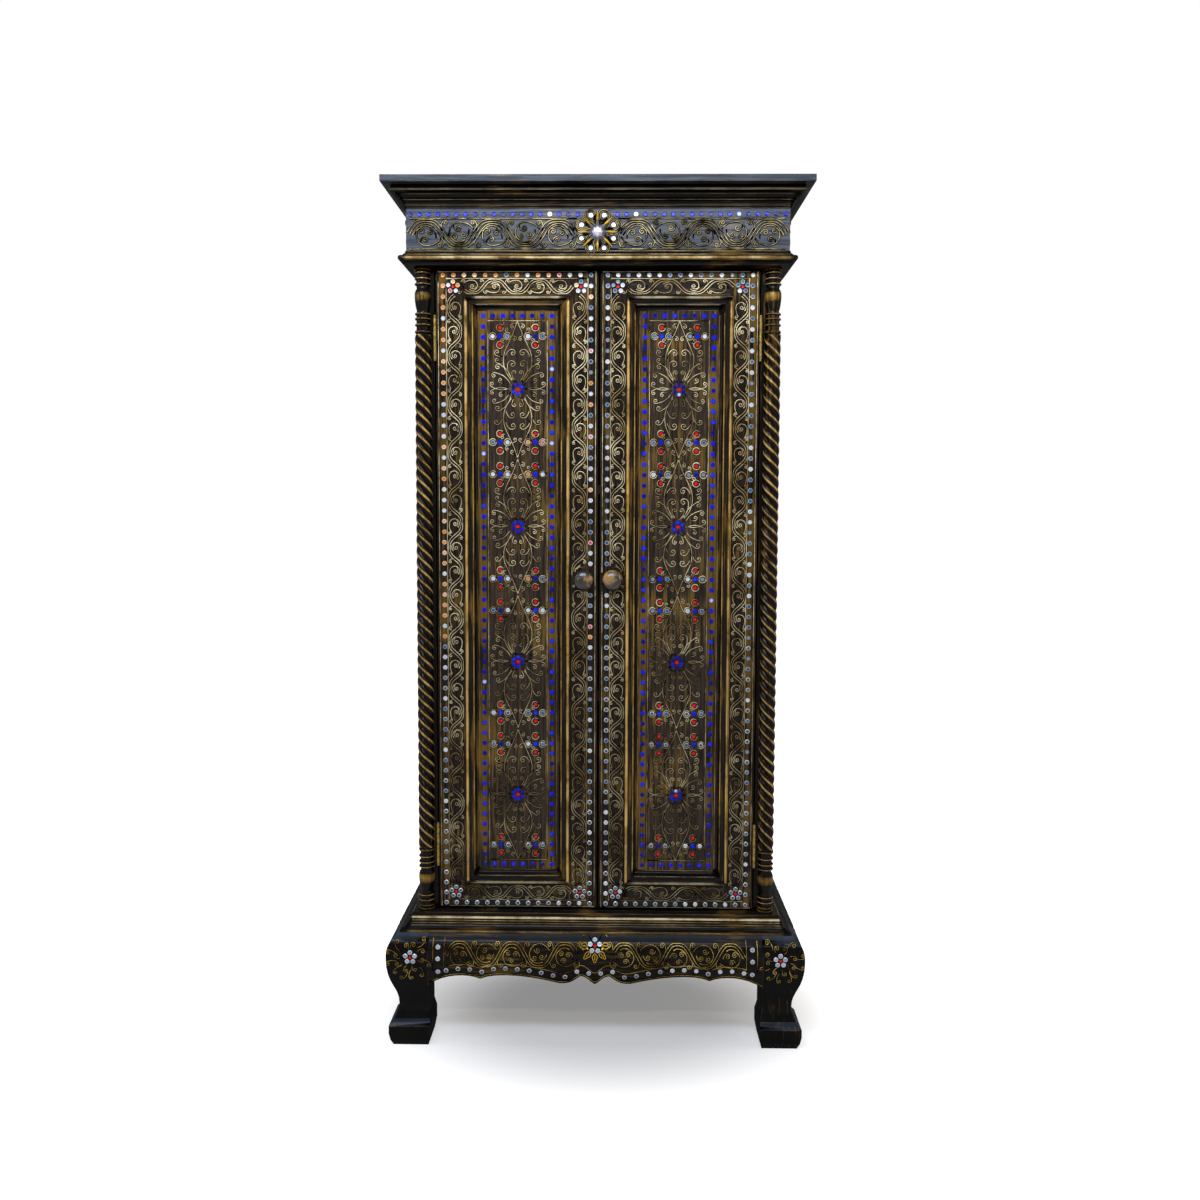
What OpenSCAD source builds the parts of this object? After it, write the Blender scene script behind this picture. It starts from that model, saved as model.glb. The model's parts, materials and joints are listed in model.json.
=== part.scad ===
// Two-door cabinet on a bracket stand: cabriole block-foot legs, ogee aprons, rope-twist
// corner columns, framed doors with planted panel mouldings, frieze and stepped cornice.
// X runs across the front, -Y is the front, +Z is up. The origin is on the floor, in the
// middle of the footprint. Mouldings are drawn as [reach, height] pairs: reach is how far
// a point stands out past the faces of the corner columns.

/* [Body] */
// Width over the two corner columns
body_w = 657; // [600:1:720]
// Depth from the front of the columns to the back
body_d = 401; // [360:1:460]
// Height of the opening that the doors close
opening_h = 1170; // [1000:1:1300]
// Thickness of the bottom, top and shelf boards
board_t = 18; // [14:1:22]
// Width of the corner posts beside the doors
post_w = 20.5; // [16:0.5:24]
// Depth of the front corner posts
post_d = 35; // [28:1:45]
// Depth of the rear corner posts
rear_post_d = 35; // [28:1:45]
// Height of the rails at the top and bottom of each side
side_rail_h = 70; // [50:1:100]
// Thickness of the side panels
side_panel_t = 8; // [6:0.5:10]
// Depth of the grooves that hold the panels
groove_d = 8; // [5:0.5:10]
// Thickness of the back panel
back_t = 9; // [6:0.5:12]
// How far the back panel laps onto the rear posts
back_lap = 10; // [6:0.5:14]

/* [Stand] */
// Height of the legs and aprons
stand_h = 205; // [190:1:230]
// How far the knees stand out past the columns
knee_reach = 49; // [44:0.5:56]
// How far the top of a knee stands out past the columns
knee_top_reach = 28.5; // [28:0.5:34]
// Height of the widest part of the knee above the floor
knee_z = 166; // [155:1:175]
// How far the outside of an ankle stands out past the columns
ankle_reach = 29; // [24:0.5:34]
// Width of an ankle
ankle_w = 54.5; // [48:0.5:60]
// Height of the narrowest part of the ankle above the floor
ankle_z = 74; // [66:1:84]
// How far a foot stands out past the columns
foot_reach = 45.5; // [40:0.5:48]
// Width of a foot
foot_w = 75; // [70:0.5:82]
// Height of the upper edge of a foot
foot_h = 38; // [32:1:44]
// How far a foot draws in at the floor
foot_taper = 7.5; // [4:0.5:10]
// Depth of a rear foot, which is flat at the back
rear_foot_d = 60; // [50:1:70]
// Thickness of the aprons behind the column faces
apron_back = 8; // [4:0.5:12]
// Height of the lowest point of the front apron above the floor
apron_low_z = 113; // [108:1:120]
// Thickness of the rail at the back of the stand
rear_rail_t = 22; // [16:1:28]
// Height of the rail at the back of the stand
rear_rail_h = 80; // [60:1:95]
// Width of the rails of the frame on top of the legs
frame_rail_w = 60; // [45:1:75]

/* [Waist] */
// Height of the moulding between stand and body
waist_h = 29; // [26:1:36]
// Radius of the bead at the top of the waist
waist_bead_r = 4; // [3:0.25:4.5]

/* [Head] */
// Height of the neck moulding over the doors
neck_h = 26; // [24:1:32]
// Radius of the bead in the neck moulding
neck_bead_r = 5.5; // [4:0.25:6]
// Height of the frieze
frieze_h = 73; // [60:1:90]
// How far the frieze stands out past the columns
frieze_reach = 9.5; // [8:0.5:12]
// Height of the stepped moulding over the frieze
cornice_h = 35; // [30:1:44]
// How far the stepped moulding stands out past the frieze
cornice_step = 23.5; // [20:0.5:27]
// Thickness of the top board
top_t = 12; // [10:1:18]
// How far the top board stands out past the columns
top_reach = 47; // [42:0.5:48]

/* [Columns] */
// Radius of the corner columns
column_r = 15; // [13:0.5:17]
// Depth of the grooves of the rope twist
rope_depth = 3.2; // [2:0.1:4.5]
// Number of strands in the rope twist
rope_strands = 4; // [3:1:5]
// Height over which a strand goes once round
rope_lead = 80; // [70:1:110]
// Height of the turned part at each end of a column
turning_h = 115; // [100:1:125]

/* [Doors] */
// Thickness of the door frames
door_t = 22; // [20:0.5:26]
// How far the door faces lie behind the fronts of the columns
door_setback = 13; // [10:0.5:14]
// Gap between a door and its post, and over and under the doors
door_gap = 3; // [2.5:0.25:3.5]
// Gap between the two doors
meeting_gap = 4; // [3:0.5:5]
// How far right of the middle the doors meet
meeting_x = 3.5; // [0:0.5:6]
// Width of the panel moulding, measured across each door
panel_frame_w = 192; // [180:1:200]
// Visible height of the top and bottom rails
rail_vis = 44; // [38:1:52]
// Depth of the panels behind the door faces
panel_depth = 10; // [9:0.5:11]
// Thickness of the panels
panel_t = 8; // [6:0.5:9]
// Length of the tenons on the door rails
tenon_l = 30; // [20:1:36]
// Thickness of the tenons on the door rails
tenon_t = 8; // [6:0.5:9]

/* [Panel moulding] */
// Width of the moulding round a panel
mould_w = 25; // [22:0.5:28]
// How far the moulding laps onto the door frame
mould_lap = 8; // [7:0.5:9]
// Height of the outer bead over the door face
bead_h = 5; // [3:0.5:6]

/* [Hinges] */
// Length of a hinge
hinge_l = 76; // [64:1:90]
// Distance from the ends of the door to its hinges
hinge_inset = 82; // [60:1:120]
// Outer radius of the knuckles
knuckle_r = 3; // [2.6:0.1:3.4]
// Radius of the hinge pins
pin_r = 1.6; // [1.2:0.1:1.8]
// Running clearance between a pin and the knuckles that turn on it
pin_clear = 0.05; // [0.03:0.01:0.09]
// How far the pins lie in front of the door faces
pin_out = 3.5; // [3.5:0.1:4]
// Thickness of the hinge leaves
leaf_t = 1.4; // [1:0.1:1.4]
// Width of the hinge leaves behind the door faces
leaf_w = 19; // [16:0.5:19.5]
// Number of knuckles in a hinge
knuckles = 5; // [3:2:7]
// Gap between neighbouring knuckles
knuckle_gap = 0.3; // [0.2:0.05:0.5]
// Radius of the hinge screws
screw_r = 1.4; // [1.1:0.1:1.6]
// Length of the hinge screws
screw_l = 15; // [10:0.5:16]

/* [Knobs and catches] */
// Radius of the door knobs
knob_r = 18.5; // [15:0.5:20]
// Length of a knob in front of the door
knob_l = 30; // [24:0.5:36]
// Height of the knobs over the bottom of the doors
knob_up = 611; // [400:1:800]
// Radius of the spigot that fixes a knob
spigot_r = 5; // [4:0.5:6]
// Depth of the hole for the spigot
spigot_l = 18; // [12:0.5:19]
// Length of a magnetic catch
catch_l = 46; // [40:1:56]
// Depth of a magnetic catch, front to back
catch_d = 14; // [12:0.5:18]
// Height of a magnetic catch
catch_h = 13; // [10:0.5:16]
// Thickness of the strike plates
strike_t = 1.2; // [0.8:0.1:1.6]
// Space between a strike plate and its catch
strike_gap = 0.4; // [0.3:0.1:0.8]

/* [Shelves] */
// Space between a shelf and the posts and back
shelf_clear = 1; // [0.5:0.1:2]
// Width of the strips that carry the shelves
cleat_w = 16; // [12:1:20]
// Height of the strips that carry the shelves
cleat_h = 20; // [14:1:26]

/* [Glass inlay] */
// Radius of the round glass pieces
glass_r = 4.2; // [3.4:0.1:4.6]
// Thickness of the glass pieces over the surface
glass_t = 1.4; // [1:0.1:1.8]
// Distance between neighbours in the glass borders
glass_pitch = 19.3; // [17:0.1:24]
// Distance from a door's edge to the middle of its border
border_in = 13; // [11:0.5:14]
// Distance from the ends of a door to the middle of its border
border_end = 8; // [6:0.5:9]
// Distance from the panel moulding to the middle of the blue border
panel_border_in = 9; // [7:0.5:10]
// Distance from the corner of the frame to a corner flower, each way
flower_in = 31; // [29:0.5:33]
// Radius of the ring of petals in a flower
petal_ring = 8.8; // [8.4:0.1:9.6]
// Radius of the cut glass in the middle of the frieze
jewel_r = 10; // [8:0.5:12]

/* [Hidden] */

lacquer = "#33281d";
lacquer_edge = "#5a4426";
raw_wood = "#5b3b22";
bronze = "#a88a4a";
clear_tone = "#cfd8dc";
blue_tone = "#1c35c8";
red_tone = "#d01818";
brown_tone = "#4a3020";

half_w = body_w/2;
seat_gap = 0.25;
stand_out = knee_reach + seat_gap + glass_t;
front_y = (stand_out - body_d)/2;
back_y = front_y + body_d;
waist_z = stand_h;
floor_z = stand_h + waist_h;
neck_z = floor_z + opening_h;
frieze_z = neck_z + neck_h;
cornice_z = frieze_z + frieze_h;
top_z = cornice_z + cornice_h;
ring_in = 8;
axis_x = half_w - column_r;
axis_y = front_y + column_r;
post_in = axis_x - post_w;
door_y = front_y + door_setback;
door_x = post_in - door_gap;
door_z0 = floor_z + door_gap;
door_z1 = neck_z - door_gap;
door_h = door_z1 - door_z0;
pin_x = -door_gap/2;
pin_y = door_y - pin_out;
frame_lo = door_z0 + rail_vis;
frame_hi = door_z1 - rail_vis;
rail_h = rail_vis + mould_lap;
panel_y = door_y + panel_depth;
big = 2000;
mitre = 80;
step_n = 8;
hairline = 0.15;

// Width of a door: side is -1 for the left door and 1 for the right one
function door_w(side) = door_x + side*(-meeting_x) - meeting_gap/2;
// Width of a stile outside the panel moulding
function stile_vis(side) = (door_w(side) - panel_frame_w)/2;
function stile_w(side) = stile_vis(side) + mould_lap;
// Points of a curve from a to d, pulled towards b and c
function curve(a, b, c, d, n = step_n) = [for (i = [0:n]) let (t = i/n, u = 1 - t)
    a*u*u*u + b*3*u*u*t + c*3*u*t*t + d*t*t*t];
function arc(centre, r, from, to, n = step_n) = [for (i = [0:n])
    let (a = from + (to - from)*i/n) centre + [r*cos(a), r*sin(a)]];

// The bulging outer line of knees and aprons, from the top down to the ankle, and the
// heights over and under which its curves stay upright
shoulder_rise = 22;
knee_fall = 50;
ankle_rise = 30;
shoulder_in = 6;
knee_line = concat(
    curve([knee_top_reach, stand_h], [knee_reach - shoulder_in, stand_h - shoulder_in*1.5],
        [knee_reach, knee_z + shoulder_rise], [knee_reach, knee_z]),
    curve([knee_reach, knee_z], [knee_reach, knee_z - knee_fall],
        [ankle_reach, ankle_z + ankle_rise], [ankle_reach, ankle_z]));
knee_table = [for (p = knee_line) [-p[1], p[0]]];
// Reach of the knee line at height z, and its lean there in degrees
function knee_at(z) = lookup(-z, knee_table);
function knee_lean(z) = atan2(knee_at(z - 3) - knee_at(z + 3), 6);

module block(low, high) {
    translate(low)
        cube(high - low);
}

// Both sides of the cabinet: the children are drawn on the right and mirrored
module both_sides() {
    for (m = [0, 1])
        mirror([m, 0, 0])
            children();
}

// A moulding along the front, cut at 45 degrees over the corner columns and short of
// its neighbours by the hairline that the glue takes
module front_run(profile) {
    out = half_w + mitre - hairline;
    in = half_w - mitre - hairline;
    intersection() {
        translate([-half_w - mitre, 0, 0])
            rotate([90, 0, 90])
                linear_extrude(body_w + 2*mitre)
                    polygon([for (p = profile) [front_y - p[0], p[1]]]);
        linear_extrude(big)
            polygon([[-out, front_y - mitre], [out, front_y - mitre],
                [in, front_y + mitre], [-in, front_y + mitre]]);
    }
}

// The same moulding along the right side, back to the wall
module side_run(profile) {
    intersection() {
        translate([0, back_y, 0])
            rotate([90, 0, 0])
                linear_extrude(body_d + mitre)
                    polygon([for (p = profile) [half_w + p[0], p[1]]]);
        linear_extrude(big)
            polygon([[half_w + mitre, front_y - mitre], [half_w + mitre, back_y],
                [half_w - mitre, back_y], [half_w - mitre, front_y + mitre]]);
    }
}

module mitred_moulding(profile) {
    front_run(profile);
    both_sides()
        side_run(profile);
}

// Outline of a leg seen square on: the curved outer side, then the straight inner one
inner_reach = ankle_reach - ankle_w;
foot_in = foot_reach - foot_w;
leg_outline = concat(
    [[inner_reach, stand_h]],
    knee_line,
    curve([ankle_reach, ankle_z], [ankle_reach + 1, ankle_z - 14],
        [foot_reach - 12, foot_h + 9], [foot_reach, foot_h], 6),
    [[foot_reach, foot_h*0.63], [foot_reach - foot_taper/3, foot_h*0.29],
        [foot_reach - foot_taper, 0], [foot_in + foot_taper/2, 0],
        [foot_in, foot_h*0.5], [foot_in, foot_h + 4], [inner_reach, ankle_z - 16]]);
// Seen from the side, a rear leg is straight and flat at the back
rear_outline = [[rear_foot_d - 4, stand_h], [0, stand_h], [0, foot_h*0.3],
    [foot_taper/3, 0], [rear_foot_d - foot_taper/2, 0], [rear_foot_d, foot_h*0.5],
    [rear_foot_d, foot_h + 4], [rear_foot_d - 4, ankle_z - 16]];

module leg_side_view() {
    rotate([90, 0, 0])
        translate([0, 0, -big/2])
            linear_extrude(big)
                polygon([for (p = leg_outline) [half_w + p[0], p[1]]]);
}

// A front leg is sawn to one outline on both faces, so its corner is an arris
module front_leg() {
    color(lacquer)
        intersection() {
            leg_side_view();
            rotate([90, 0, 90])
                linear_extrude(big)
                    polygon([for (p = leg_outline) [front_y - p[0], p[1]]]);
        }
}

module rear_leg() {
    color(lacquer)
        intersection() {
            leg_side_view();
            rotate([90, 0, 90])
                linear_extrude(big)
                    polygon([for (p = rear_outline) [back_y - p[0], p[1]]]);
        }
}

module leg_front_right() {
    front_leg();
}

module leg_front_left() {
    mirror([1, 0, 0])
        front_leg();
}

module leg_rear_right() {
    rear_leg();
}

module leg_rear_left() {
    mirror([1, 0, 0])
        rear_leg();
}

leg_in = half_w + inner_reach;
apron_profile = concat([[-apron_back, stand_h]],
    [for (p = knee_line) if (p[1] > apron_low_z - 14) p],
    [[-apron_back, apron_low_z - 14]]);
arch_rise = 24;
scallop_hi = apron_low_z + arch_rise;
// Half of the scalloped lower edge of the front apron, from the leg to the middle:
// a short arch, a cusp, a long arch, a hanging lobe, a cusp and the middle drop
scallop = concat(
    curve([leg_in, apron_low_z], [leg_in*0.9, scallop_hi],
        [leg_in*0.76, scallop_hi + 2], [leg_in*0.683, apron_low_z + 14]),
    curve([leg_in*0.683, apron_low_z + 14], [leg_in*0.59, scallop_hi + 6],
        [leg_in*0.36, scallop_hi - 4], [leg_in*0.215, apron_low_z + 6.5]),
    curve([leg_in*0.215, apron_low_z + 6.5], [leg_in*0.15, apron_low_z + 4],
        [leg_in*0.12, apron_low_z + 14], [leg_in*0.087, scallop_hi - 2]),
    curve([leg_in*0.087, scallop_hi - 2], [leg_in*0.05, scallop_hi - 2],
        [leg_in*0.035, apron_low_z + 12], [0, apron_low_z + 5]));

module front_apron() {
    color(lacquer)
        intersection() {
            front_run(apron_profile);
            rotate([90, 0, 0])
                translate([0, 0, -big/2])
                    linear_extrude(big)
                        polygon(concat([[-leg_in, stand_h], [leg_in, stand_h]], scallop,
                            [for (i = [len(scallop) - 2:-1:0]) [-scallop[i][0], scallop[i][1]]]));
        }
}

side_from = front_y - inner_reach;
side_to = back_y - rear_foot_d + 4;
side_mid = (side_from + side_to)/2;
side_half = (side_to - side_from)/2;
// Half of the lower edge of a side apron: a bracket at the leg and one long arch
side_scallop = concat(
    curve([side_half, apron_low_z], [side_half*0.85, scallop_hi],
        [side_half*0.72, scallop_hi], [side_half*0.6, apron_low_z + 14]),
    curve([side_half*0.6, apron_low_z + 14], [side_half*0.4, scallop_hi + 6],
        [side_half*0.2, scallop_hi + 6], [0, scallop_hi + 6]));

module side_aprons() {
    color(lacquer)
        both_sides()
            intersection() {
                side_run(apron_profile);
                rotate([90, 0, 90])
                    linear_extrude(big)
                        polygon(concat([[side_from, stand_h], [side_to, stand_h]],
                            [for (p = side_scallop) [side_mid + p[0], p[1]]],
                            [for (i = [len(side_scallop) - 2:-1:0])
                                [side_mid - side_scallop[i][0], side_scallop[i][1]]]));
            }
}

module stand_rear_rail() {
    color(raw_wood)
        block([-leg_in, back_y - ring_in - rear_rail_t, stand_h - rear_rail_h],
            [leg_in, back_y - ring_in, stand_h]);
}

// The frame that ties the legs together and carries the body
frame_x = half_w - ring_in;
frame_y = front_y + ring_in;
frame_t = waist_h - board_t;
module stand_frame() {
    color(raw_wood) {
        block([-frame_x, frame_y, waist_z],
            [frame_x, frame_y + frame_rail_w, waist_z + frame_t]);
        block([-frame_x, back_y - frame_rail_w, waist_z],
            [frame_x, back_y, waist_z + frame_t]);
        both_sides()
            block([frame_x - frame_rail_w, frame_y + frame_rail_w + hairline, waist_z],
                [frame_x, back_y - frame_rail_w - hairline, waist_z + frame_t]);
    }
}

// A fillet, a hollow, two more fillets and a bead, topped by the sill's edge
waist_profile = concat(
    [[-ring_in, waist_z], [knee_top_reach - 0.5, waist_z], [knee_top_reach - 0.5, waist_z + 4]],
    curve([knee_top_reach - 2.5, waist_z + 4.5], [knee_top_reach - 7, waist_z + 5.5],
        [knee_top_reach - 10.5, waist_z + 8], [knee_top_reach - 11.5, waist_z + 10.5], 5),
    [[knee_top_reach - 13, waist_z + 10.5], [knee_top_reach - 13, floor_z - 15.5],
        [waist_bead_r + 7.5, floor_z - 14.5], [waist_bead_r + 7.5, floor_z - 12]],
    arc([7.5, floor_z - 8], waist_bead_r, -90, 90),
    [[6, floor_z - 4], [6, floor_z], [-ring_in, floor_z]]);

module waist_moulding() {
    color(lacquer)
        mitred_moulding(waist_profile);
}

module bottom_board() {
    color(raw_wood)
        block([-frame_x, frame_y, floor_z - board_t], [frame_x, back_y, floor_z]);
}

module carcass_top() {
    color(raw_wood)
        block([-frame_x, frame_y, neck_z], [frame_x, back_y, neck_z + board_t]);
}

// Where hinges sit: the lower end of each one
hinge_zs = [door_z0 + hinge_inset, door_z1 - hinge_inset - hinge_l];
screw_zs = [0.16, 0.5, 0.84];
leaf_y1 = door_y + leaf_w;
screw_stagger = 2.5;
screw_head = 1.9;
head_h = leaf_t*0.8;
// The middle screw of a hinge stands further back than the outer two
function screw_y(f) = (door_y + leaf_y1)/2 + (f == 0.5 ? screw_stagger : -screw_stagger);

// Pilot holes for the hinge screws, from x towards -x or +x by dir
module screw_holes(x, dir) {
    for (z = hinge_zs, f = screw_zs)
        translate([x, screw_y(f), z + f*hinge_l])
            rotate([0, dir*90, 0])
                cylinder(h = screw_l, r = screw_r, $fn = 24);
}

module screws(x, dir) {
    for (z = hinge_zs, f = screw_zs)
        translate([x, screw_y(f), z + f*hinge_l])
            rotate([0, dir*90, 0]) {
                cylinder(h = screw_l, r = screw_r, $fn = 24);
                cylinder(h = head_h, r1 = screw_r*screw_head, r2 = screw_r, $fn = 24);
            }
}

post_mid = axis_x - post_w/2;
rail_y0 = axis_y + post_d;
rail_y1 = back_y - rear_post_d;
panel_x0 = post_mid - side_panel_t/2;
panel_x1 = post_mid + side_panel_t/2;
// The side panel with its edges in the grooves of posts and rails
module side_panel(extra = 0) {
    block([panel_x0, rail_y0 - groove_d - extra, floor_z + side_rail_h - groove_d - extra],
        [panel_x1, rail_y1 + groove_d + extra, neck_z - side_rail_h + groove_d + extra]);
}

module front_post() {
    color(lacquer)
        difference() {
            block([post_in, axis_y, floor_z], [axis_x, axis_y + post_d, neck_z]);
            side_panel(1);
            for (z = hinge_zs)
                block([post_in - 1, axis_y - 1, z], [post_in + leaf_t, leaf_y1, z + hinge_l]);
            screw_holes(post_in, 1);
        }
}

module front_post_right() {
    front_post();
}

module front_post_left() {
    mirror([1, 0, 0])
        front_post();
}

module rear_posts() {
    color(lacquer)
        both_sides()
            difference() {
                block([post_in, rail_y1, floor_z], [axis_x, back_y, neck_z]);
                side_panel(1);
                block([post_in - 1, back_y - back_t, floor_z - 1],
                    [post_in + back_lap, back_y + 1, neck_z + 1]);
            }
}

module side_rails() {
    color(lacquer)
        both_sides()
            for (z = [floor_z, neck_z - side_rail_h])
                difference() {
                    block([post_in, rail_y0, z], [axis_x, rail_y1, z + side_rail_h]);
                    side_panel(1);
                }
}

module side_panels() {
    color(lacquer)
        both_sides()
            side_panel();
}

module back_panel() {
    color(raw_wood)
        block([-post_in - back_lap, back_y - back_t, floor_z],
            [post_in + back_lap, back_y, neck_z]);
}

// A turned end: rings, a vase that is widest high up, more rings
vase_r = column_r - 0.4;
neck_r = column_r*0.78;
function ring(z, r, h) = arc([r - h/2, z], h/2, -90, 90, 4);
function vase(z0, z1) = let (h = z1 - z0) concat(
    curve([neck_r - 1, z0], [neck_r, z0 + h*0.28], [vase_r, z1 - h*0.6], [vase_r, z1 - h*0.28], 6),
    curve([vase_r, z1 - h*0.28], [vase_r, z1 - h*0.1], [neck_r, z1], [neck_r - 1, z1], 5));
function turning(z0, rings_low, vase_low, vase_high, rings_high, h) = concat(
    [[0, z0]],
    [for (z = rings_low) each concat([[neck_r, z0 + z[0] - z[1]/2]],
        ring(z0 + z[0], column_r - z[2], z[1]), [[neck_r, z0 + z[0] + z[1]/2]])],
    vase(z0 + vase_low, z0 + vase_high),
    [for (z = rings_high) each concat([[neck_r, z0 + z[0] - z[1]/2]],
        ring(z0 + z[0], column_r - z[2], z[1]), [[neck_r, z0 + z[0] + z[1]/2]])],
    [[neck_r, z0 + h], [0, z0 + h]]);
// Rings as [height over the end, thickness, how far short of full radius]
low_turning = turning(floor_z, [[3, 6, 0], [turning_h*0.105, 4, 0.8], [turning_h*0.165, 3.5, 1.2],
        [turning_h*0.225, 3.5, 1.2]],
    turning_h*0.27, turning_h*0.65,
    [[turning_h*0.73, 4, 1], [turning_h*0.82, 4, 0.6], [turning_h*0.94, 4.5, 0.3]], turning_h);
high_turning = turning(neck_z - turning_h,
    [[turning_h*0.07, 4.5, 0.3], [turning_h*0.18, 4, 0.6], [turning_h*0.27, 4, 1],
        [turning_h*0.35, 3.5, 1.2]],
    turning_h*0.4, turning_h*0.77,
    [[turning_h*0.81, 3.5, 1.2], [turning_h*0.885, 4, 0.8], [turning_h - 3, 6, 0]], turning_h);

// Cross-section of the rope: round strands with sharp grooves between them
rope_section = [for (k = [0:rope_strands*3 - 1])
    let (a = k*120/rope_strands, r = column_r - (k % 3 == 0 ? rope_depth : 0.3))
    [r*cos(a), r*sin(a)]];
// The rope's ends run into the turned ends by this much
rope_bite = 1;
rope_l = opening_h - 2*turning_h + 2*rope_bite;
// Where the strands start, in degrees round the column
rope_start = 7;
// Slices of the rope in one turn of a strand
rope_slices = 14;

// A three-quarter column: its missing quarter fits over the corner of the post. The rope
// winds the same way on both columns.
module column(side) {
    color(lacquer_edge)
        difference() {
            translate([side*axis_x, axis_y, 0]) {
                rotate_extrude($fn = 32)
                    polygon(low_turning);
                rotate_extrude($fn = 32)
                    polygon(high_turning);
                translate([0, 0, floor_z + turning_h - rope_bite])
                    rotate([0, 0, rope_start])
                        linear_extrude(rope_l, twist = 360*rope_l/rope_lead,
                            slices = ceil(rope_l/rope_lead*rope_slices), segments = rope_strands*3)
                            polygon(rope_section);
            }
            translate([side*(axis_x - column_r), axis_y + column_r, neck_z - opening_h/2])
                cube([2*column_r, 2*column_r, opening_h + 2], center = true);
        }
}

module right_column() {
    column(1);
}

module left_column() {
    column(-1);
}

shelf_z = [floor_z + (opening_h - board_t)/3, floor_z + (opening_h - board_t)*2/3];
shelf_back = 12;
shelf_y0 = door_y + door_t + shelf_back;
shelf_y1 = back_y - back_t - shelf_clear;
module shelf(z) {
    color(raw_wood)
        block([shelf_clear - post_in, shelf_y0, z],
            [post_in - shelf_clear, shelf_y1, z + board_t]);
}

module lower_shelf() {
    shelf(shelf_z[0]);
}

module upper_shelf() {
    shelf(shelf_z[1]);
}

module shelf_cleats() {
    color(raw_wood)
        both_sides()
            for (z = shelf_z)
                block([post_in - cleat_w, shelf_y0 + 4, z - cleat_h],
                    [post_in, shelf_y1, z]);
}

neck_profile = concat(
    [[-ring_in, neck_z], [frieze_reach + 3.5, neck_z], [frieze_reach + 3.5, neck_z + 5]],
    arc([frieze_reach + 7, neck_z + 6 + neck_bead_r], neck_bead_r, -90, 90),
    [[frieze_reach + 5, neck_z + 6 + 2*neck_bead_r], [frieze_reach + 5, neck_z + 19.5]],
    curve([frieze_reach + 4.5, neck_z + 19.5], [frieze_reach + 2, neck_z + 20.5],
        [frieze_reach + 1.5, neck_z + 22], [frieze_reach + 1, neck_z + neck_h - 1], 4),
    [[frieze_reach + 1, frieze_z], [-ring_in, frieze_z]]);

module neck_moulding() {
    color(lacquer)
        mitred_moulding(neck_profile);
}

frieze_t = frieze_reach + ring_in;
module frieze_boards() {
    color(lacquer) {
        block([-half_w - frieze_reach, front_y - frieze_reach, frieze_z],
            [half_w + frieze_reach, front_y + ring_in, cornice_z]);
        both_sides()
            block([half_w - ring_in, front_y + ring_in + hairline, frieze_z],
                [half_w + frieze_reach, back_y, cornice_z]);
        block([-half_w + ring_in + hairline, back_y - frieze_t, neck_z + board_t],
            [half_w - ring_in - hairline, back_y, top_z]);
    }
}

// Steps that grow outwards: fillet, hollow, fillet, round, fillet, deep fillet
function out(f) = frieze_reach + cornice_step*f;
function up(f) = cornice_z + cornice_h*f;
cornice_profile = concat(
    [[-ring_in, cornice_z], [out(0.04), cornice_z], [out(0.04), up(0.06)],
        [out(0.13), up(0.1)], [out(0.13), up(0.17)]],
    curve([out(0.15), up(0.18)], [out(0.17), up(0.27)], [out(0.26), up(0.33)],
        [out(0.38), up(0.34)], 5),
    [[out(0.38), up(0.4)], [out(0.42), up(0.41)]],
    curve([out(0.42), up(0.41)], [out(0.56), up(0.44)], [out(0.62), up(0.52)],
        [out(0.64), up(0.57)], 5),
    [[out(0.66), up(0.58)], [out(0.66), up(0.66)], [out(1), up(0.7)], [out(1), up(0.8)],
        [out(0.94), up(0.84)], [out(0.94), top_z], [-ring_in, top_z]]);

module cornice_moulding() {
    color(lacquer)
        mitred_moulding(cornice_profile);
}

module top_board() {
    color(lacquer)
        block([-half_w - top_reach, front_y - top_reach, top_z],
            [half_w + top_reach, back_y, top_z + top_t]);
}

// Places the children on a door: x runs from its hinge edge to its meeting edge
module on_door(side) {
    if (side > 0)
        translate([door_x, 0, 0])
            mirror([1, 0, 0])
                children();
    else
        translate([-door_x, 0, 0])
            children();
}

knuckle_h = hinge_l/knuckles;
// One leaf with its knuckles: part is 0 on the frame and 1 on the door
module leaf(part) {
    x0 = part == 0 ? -door_gap - leaf_t : 0;
    bore = part == 0 ? pin_r : pin_r + pin_clear;
    for (z = hinge_zs)
        difference() {
            union() {
                block([x0, door_y, z], [x0 + leaf_t, leaf_y1, z + hinge_l]);
                for (k = [part:2:knuckles - 1]) {
                    translate([pin_x, pin_y, z + k*knuckle_h + knuckle_gap/2])
                        cylinder(h = knuckle_h - knuckle_gap, r = knuckle_r, $fn = 32);
                    block([x0, pin_y, z + k*knuckle_h + knuckle_gap/2],
                        [x0 + leaf_t, door_y + 0.01,
                            z + (k + 1)*knuckle_h - knuckle_gap/2]);
                }
            }
            translate([pin_x, pin_y, z - 1])
                cylinder(h = hinge_l + 2, r = bore, $fn = 32);
            for (f = screw_zs)
                translate([part == 0 ? x0 + leaf_t : x0, screw_y(f), z + f*hinge_l])
                    rotate([0, part == 0 ? -90 : 90, 0])
                        translate([0, 0, -0.001]) {
                            cylinder(h = leaf_t + 1, r = screw_r, $fn = 24);
                            cylinder(h = head_h, r1 = screw_r*screw_head, r2 = screw_r, $fn = 24);
                        }
        }
}

module frame_hinge_leaves() {
    color(bronze)
        for (side = [-1, 1])
            on_door(side)
                leaf(0);
}

// Pins with a small round tip under and over each hinge
module hinge_pins() {
    color(bronze)
        for (side = [-1, 1])
            on_door(side)
                for (z = hinge_zs)
                    translate([pin_x, pin_y, z]) {
                        translate([0, 0, -1])
                            cylinder(h = hinge_l + 2, r = pin_r, $fn = 32);
                        for (tip = [-2.5, hinge_l + 0.5])
                            translate([0, 0, tip])
                                cylinder(h = 2, r = pin_r + 0.9, $fn = 32);
                    }
}

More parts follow.
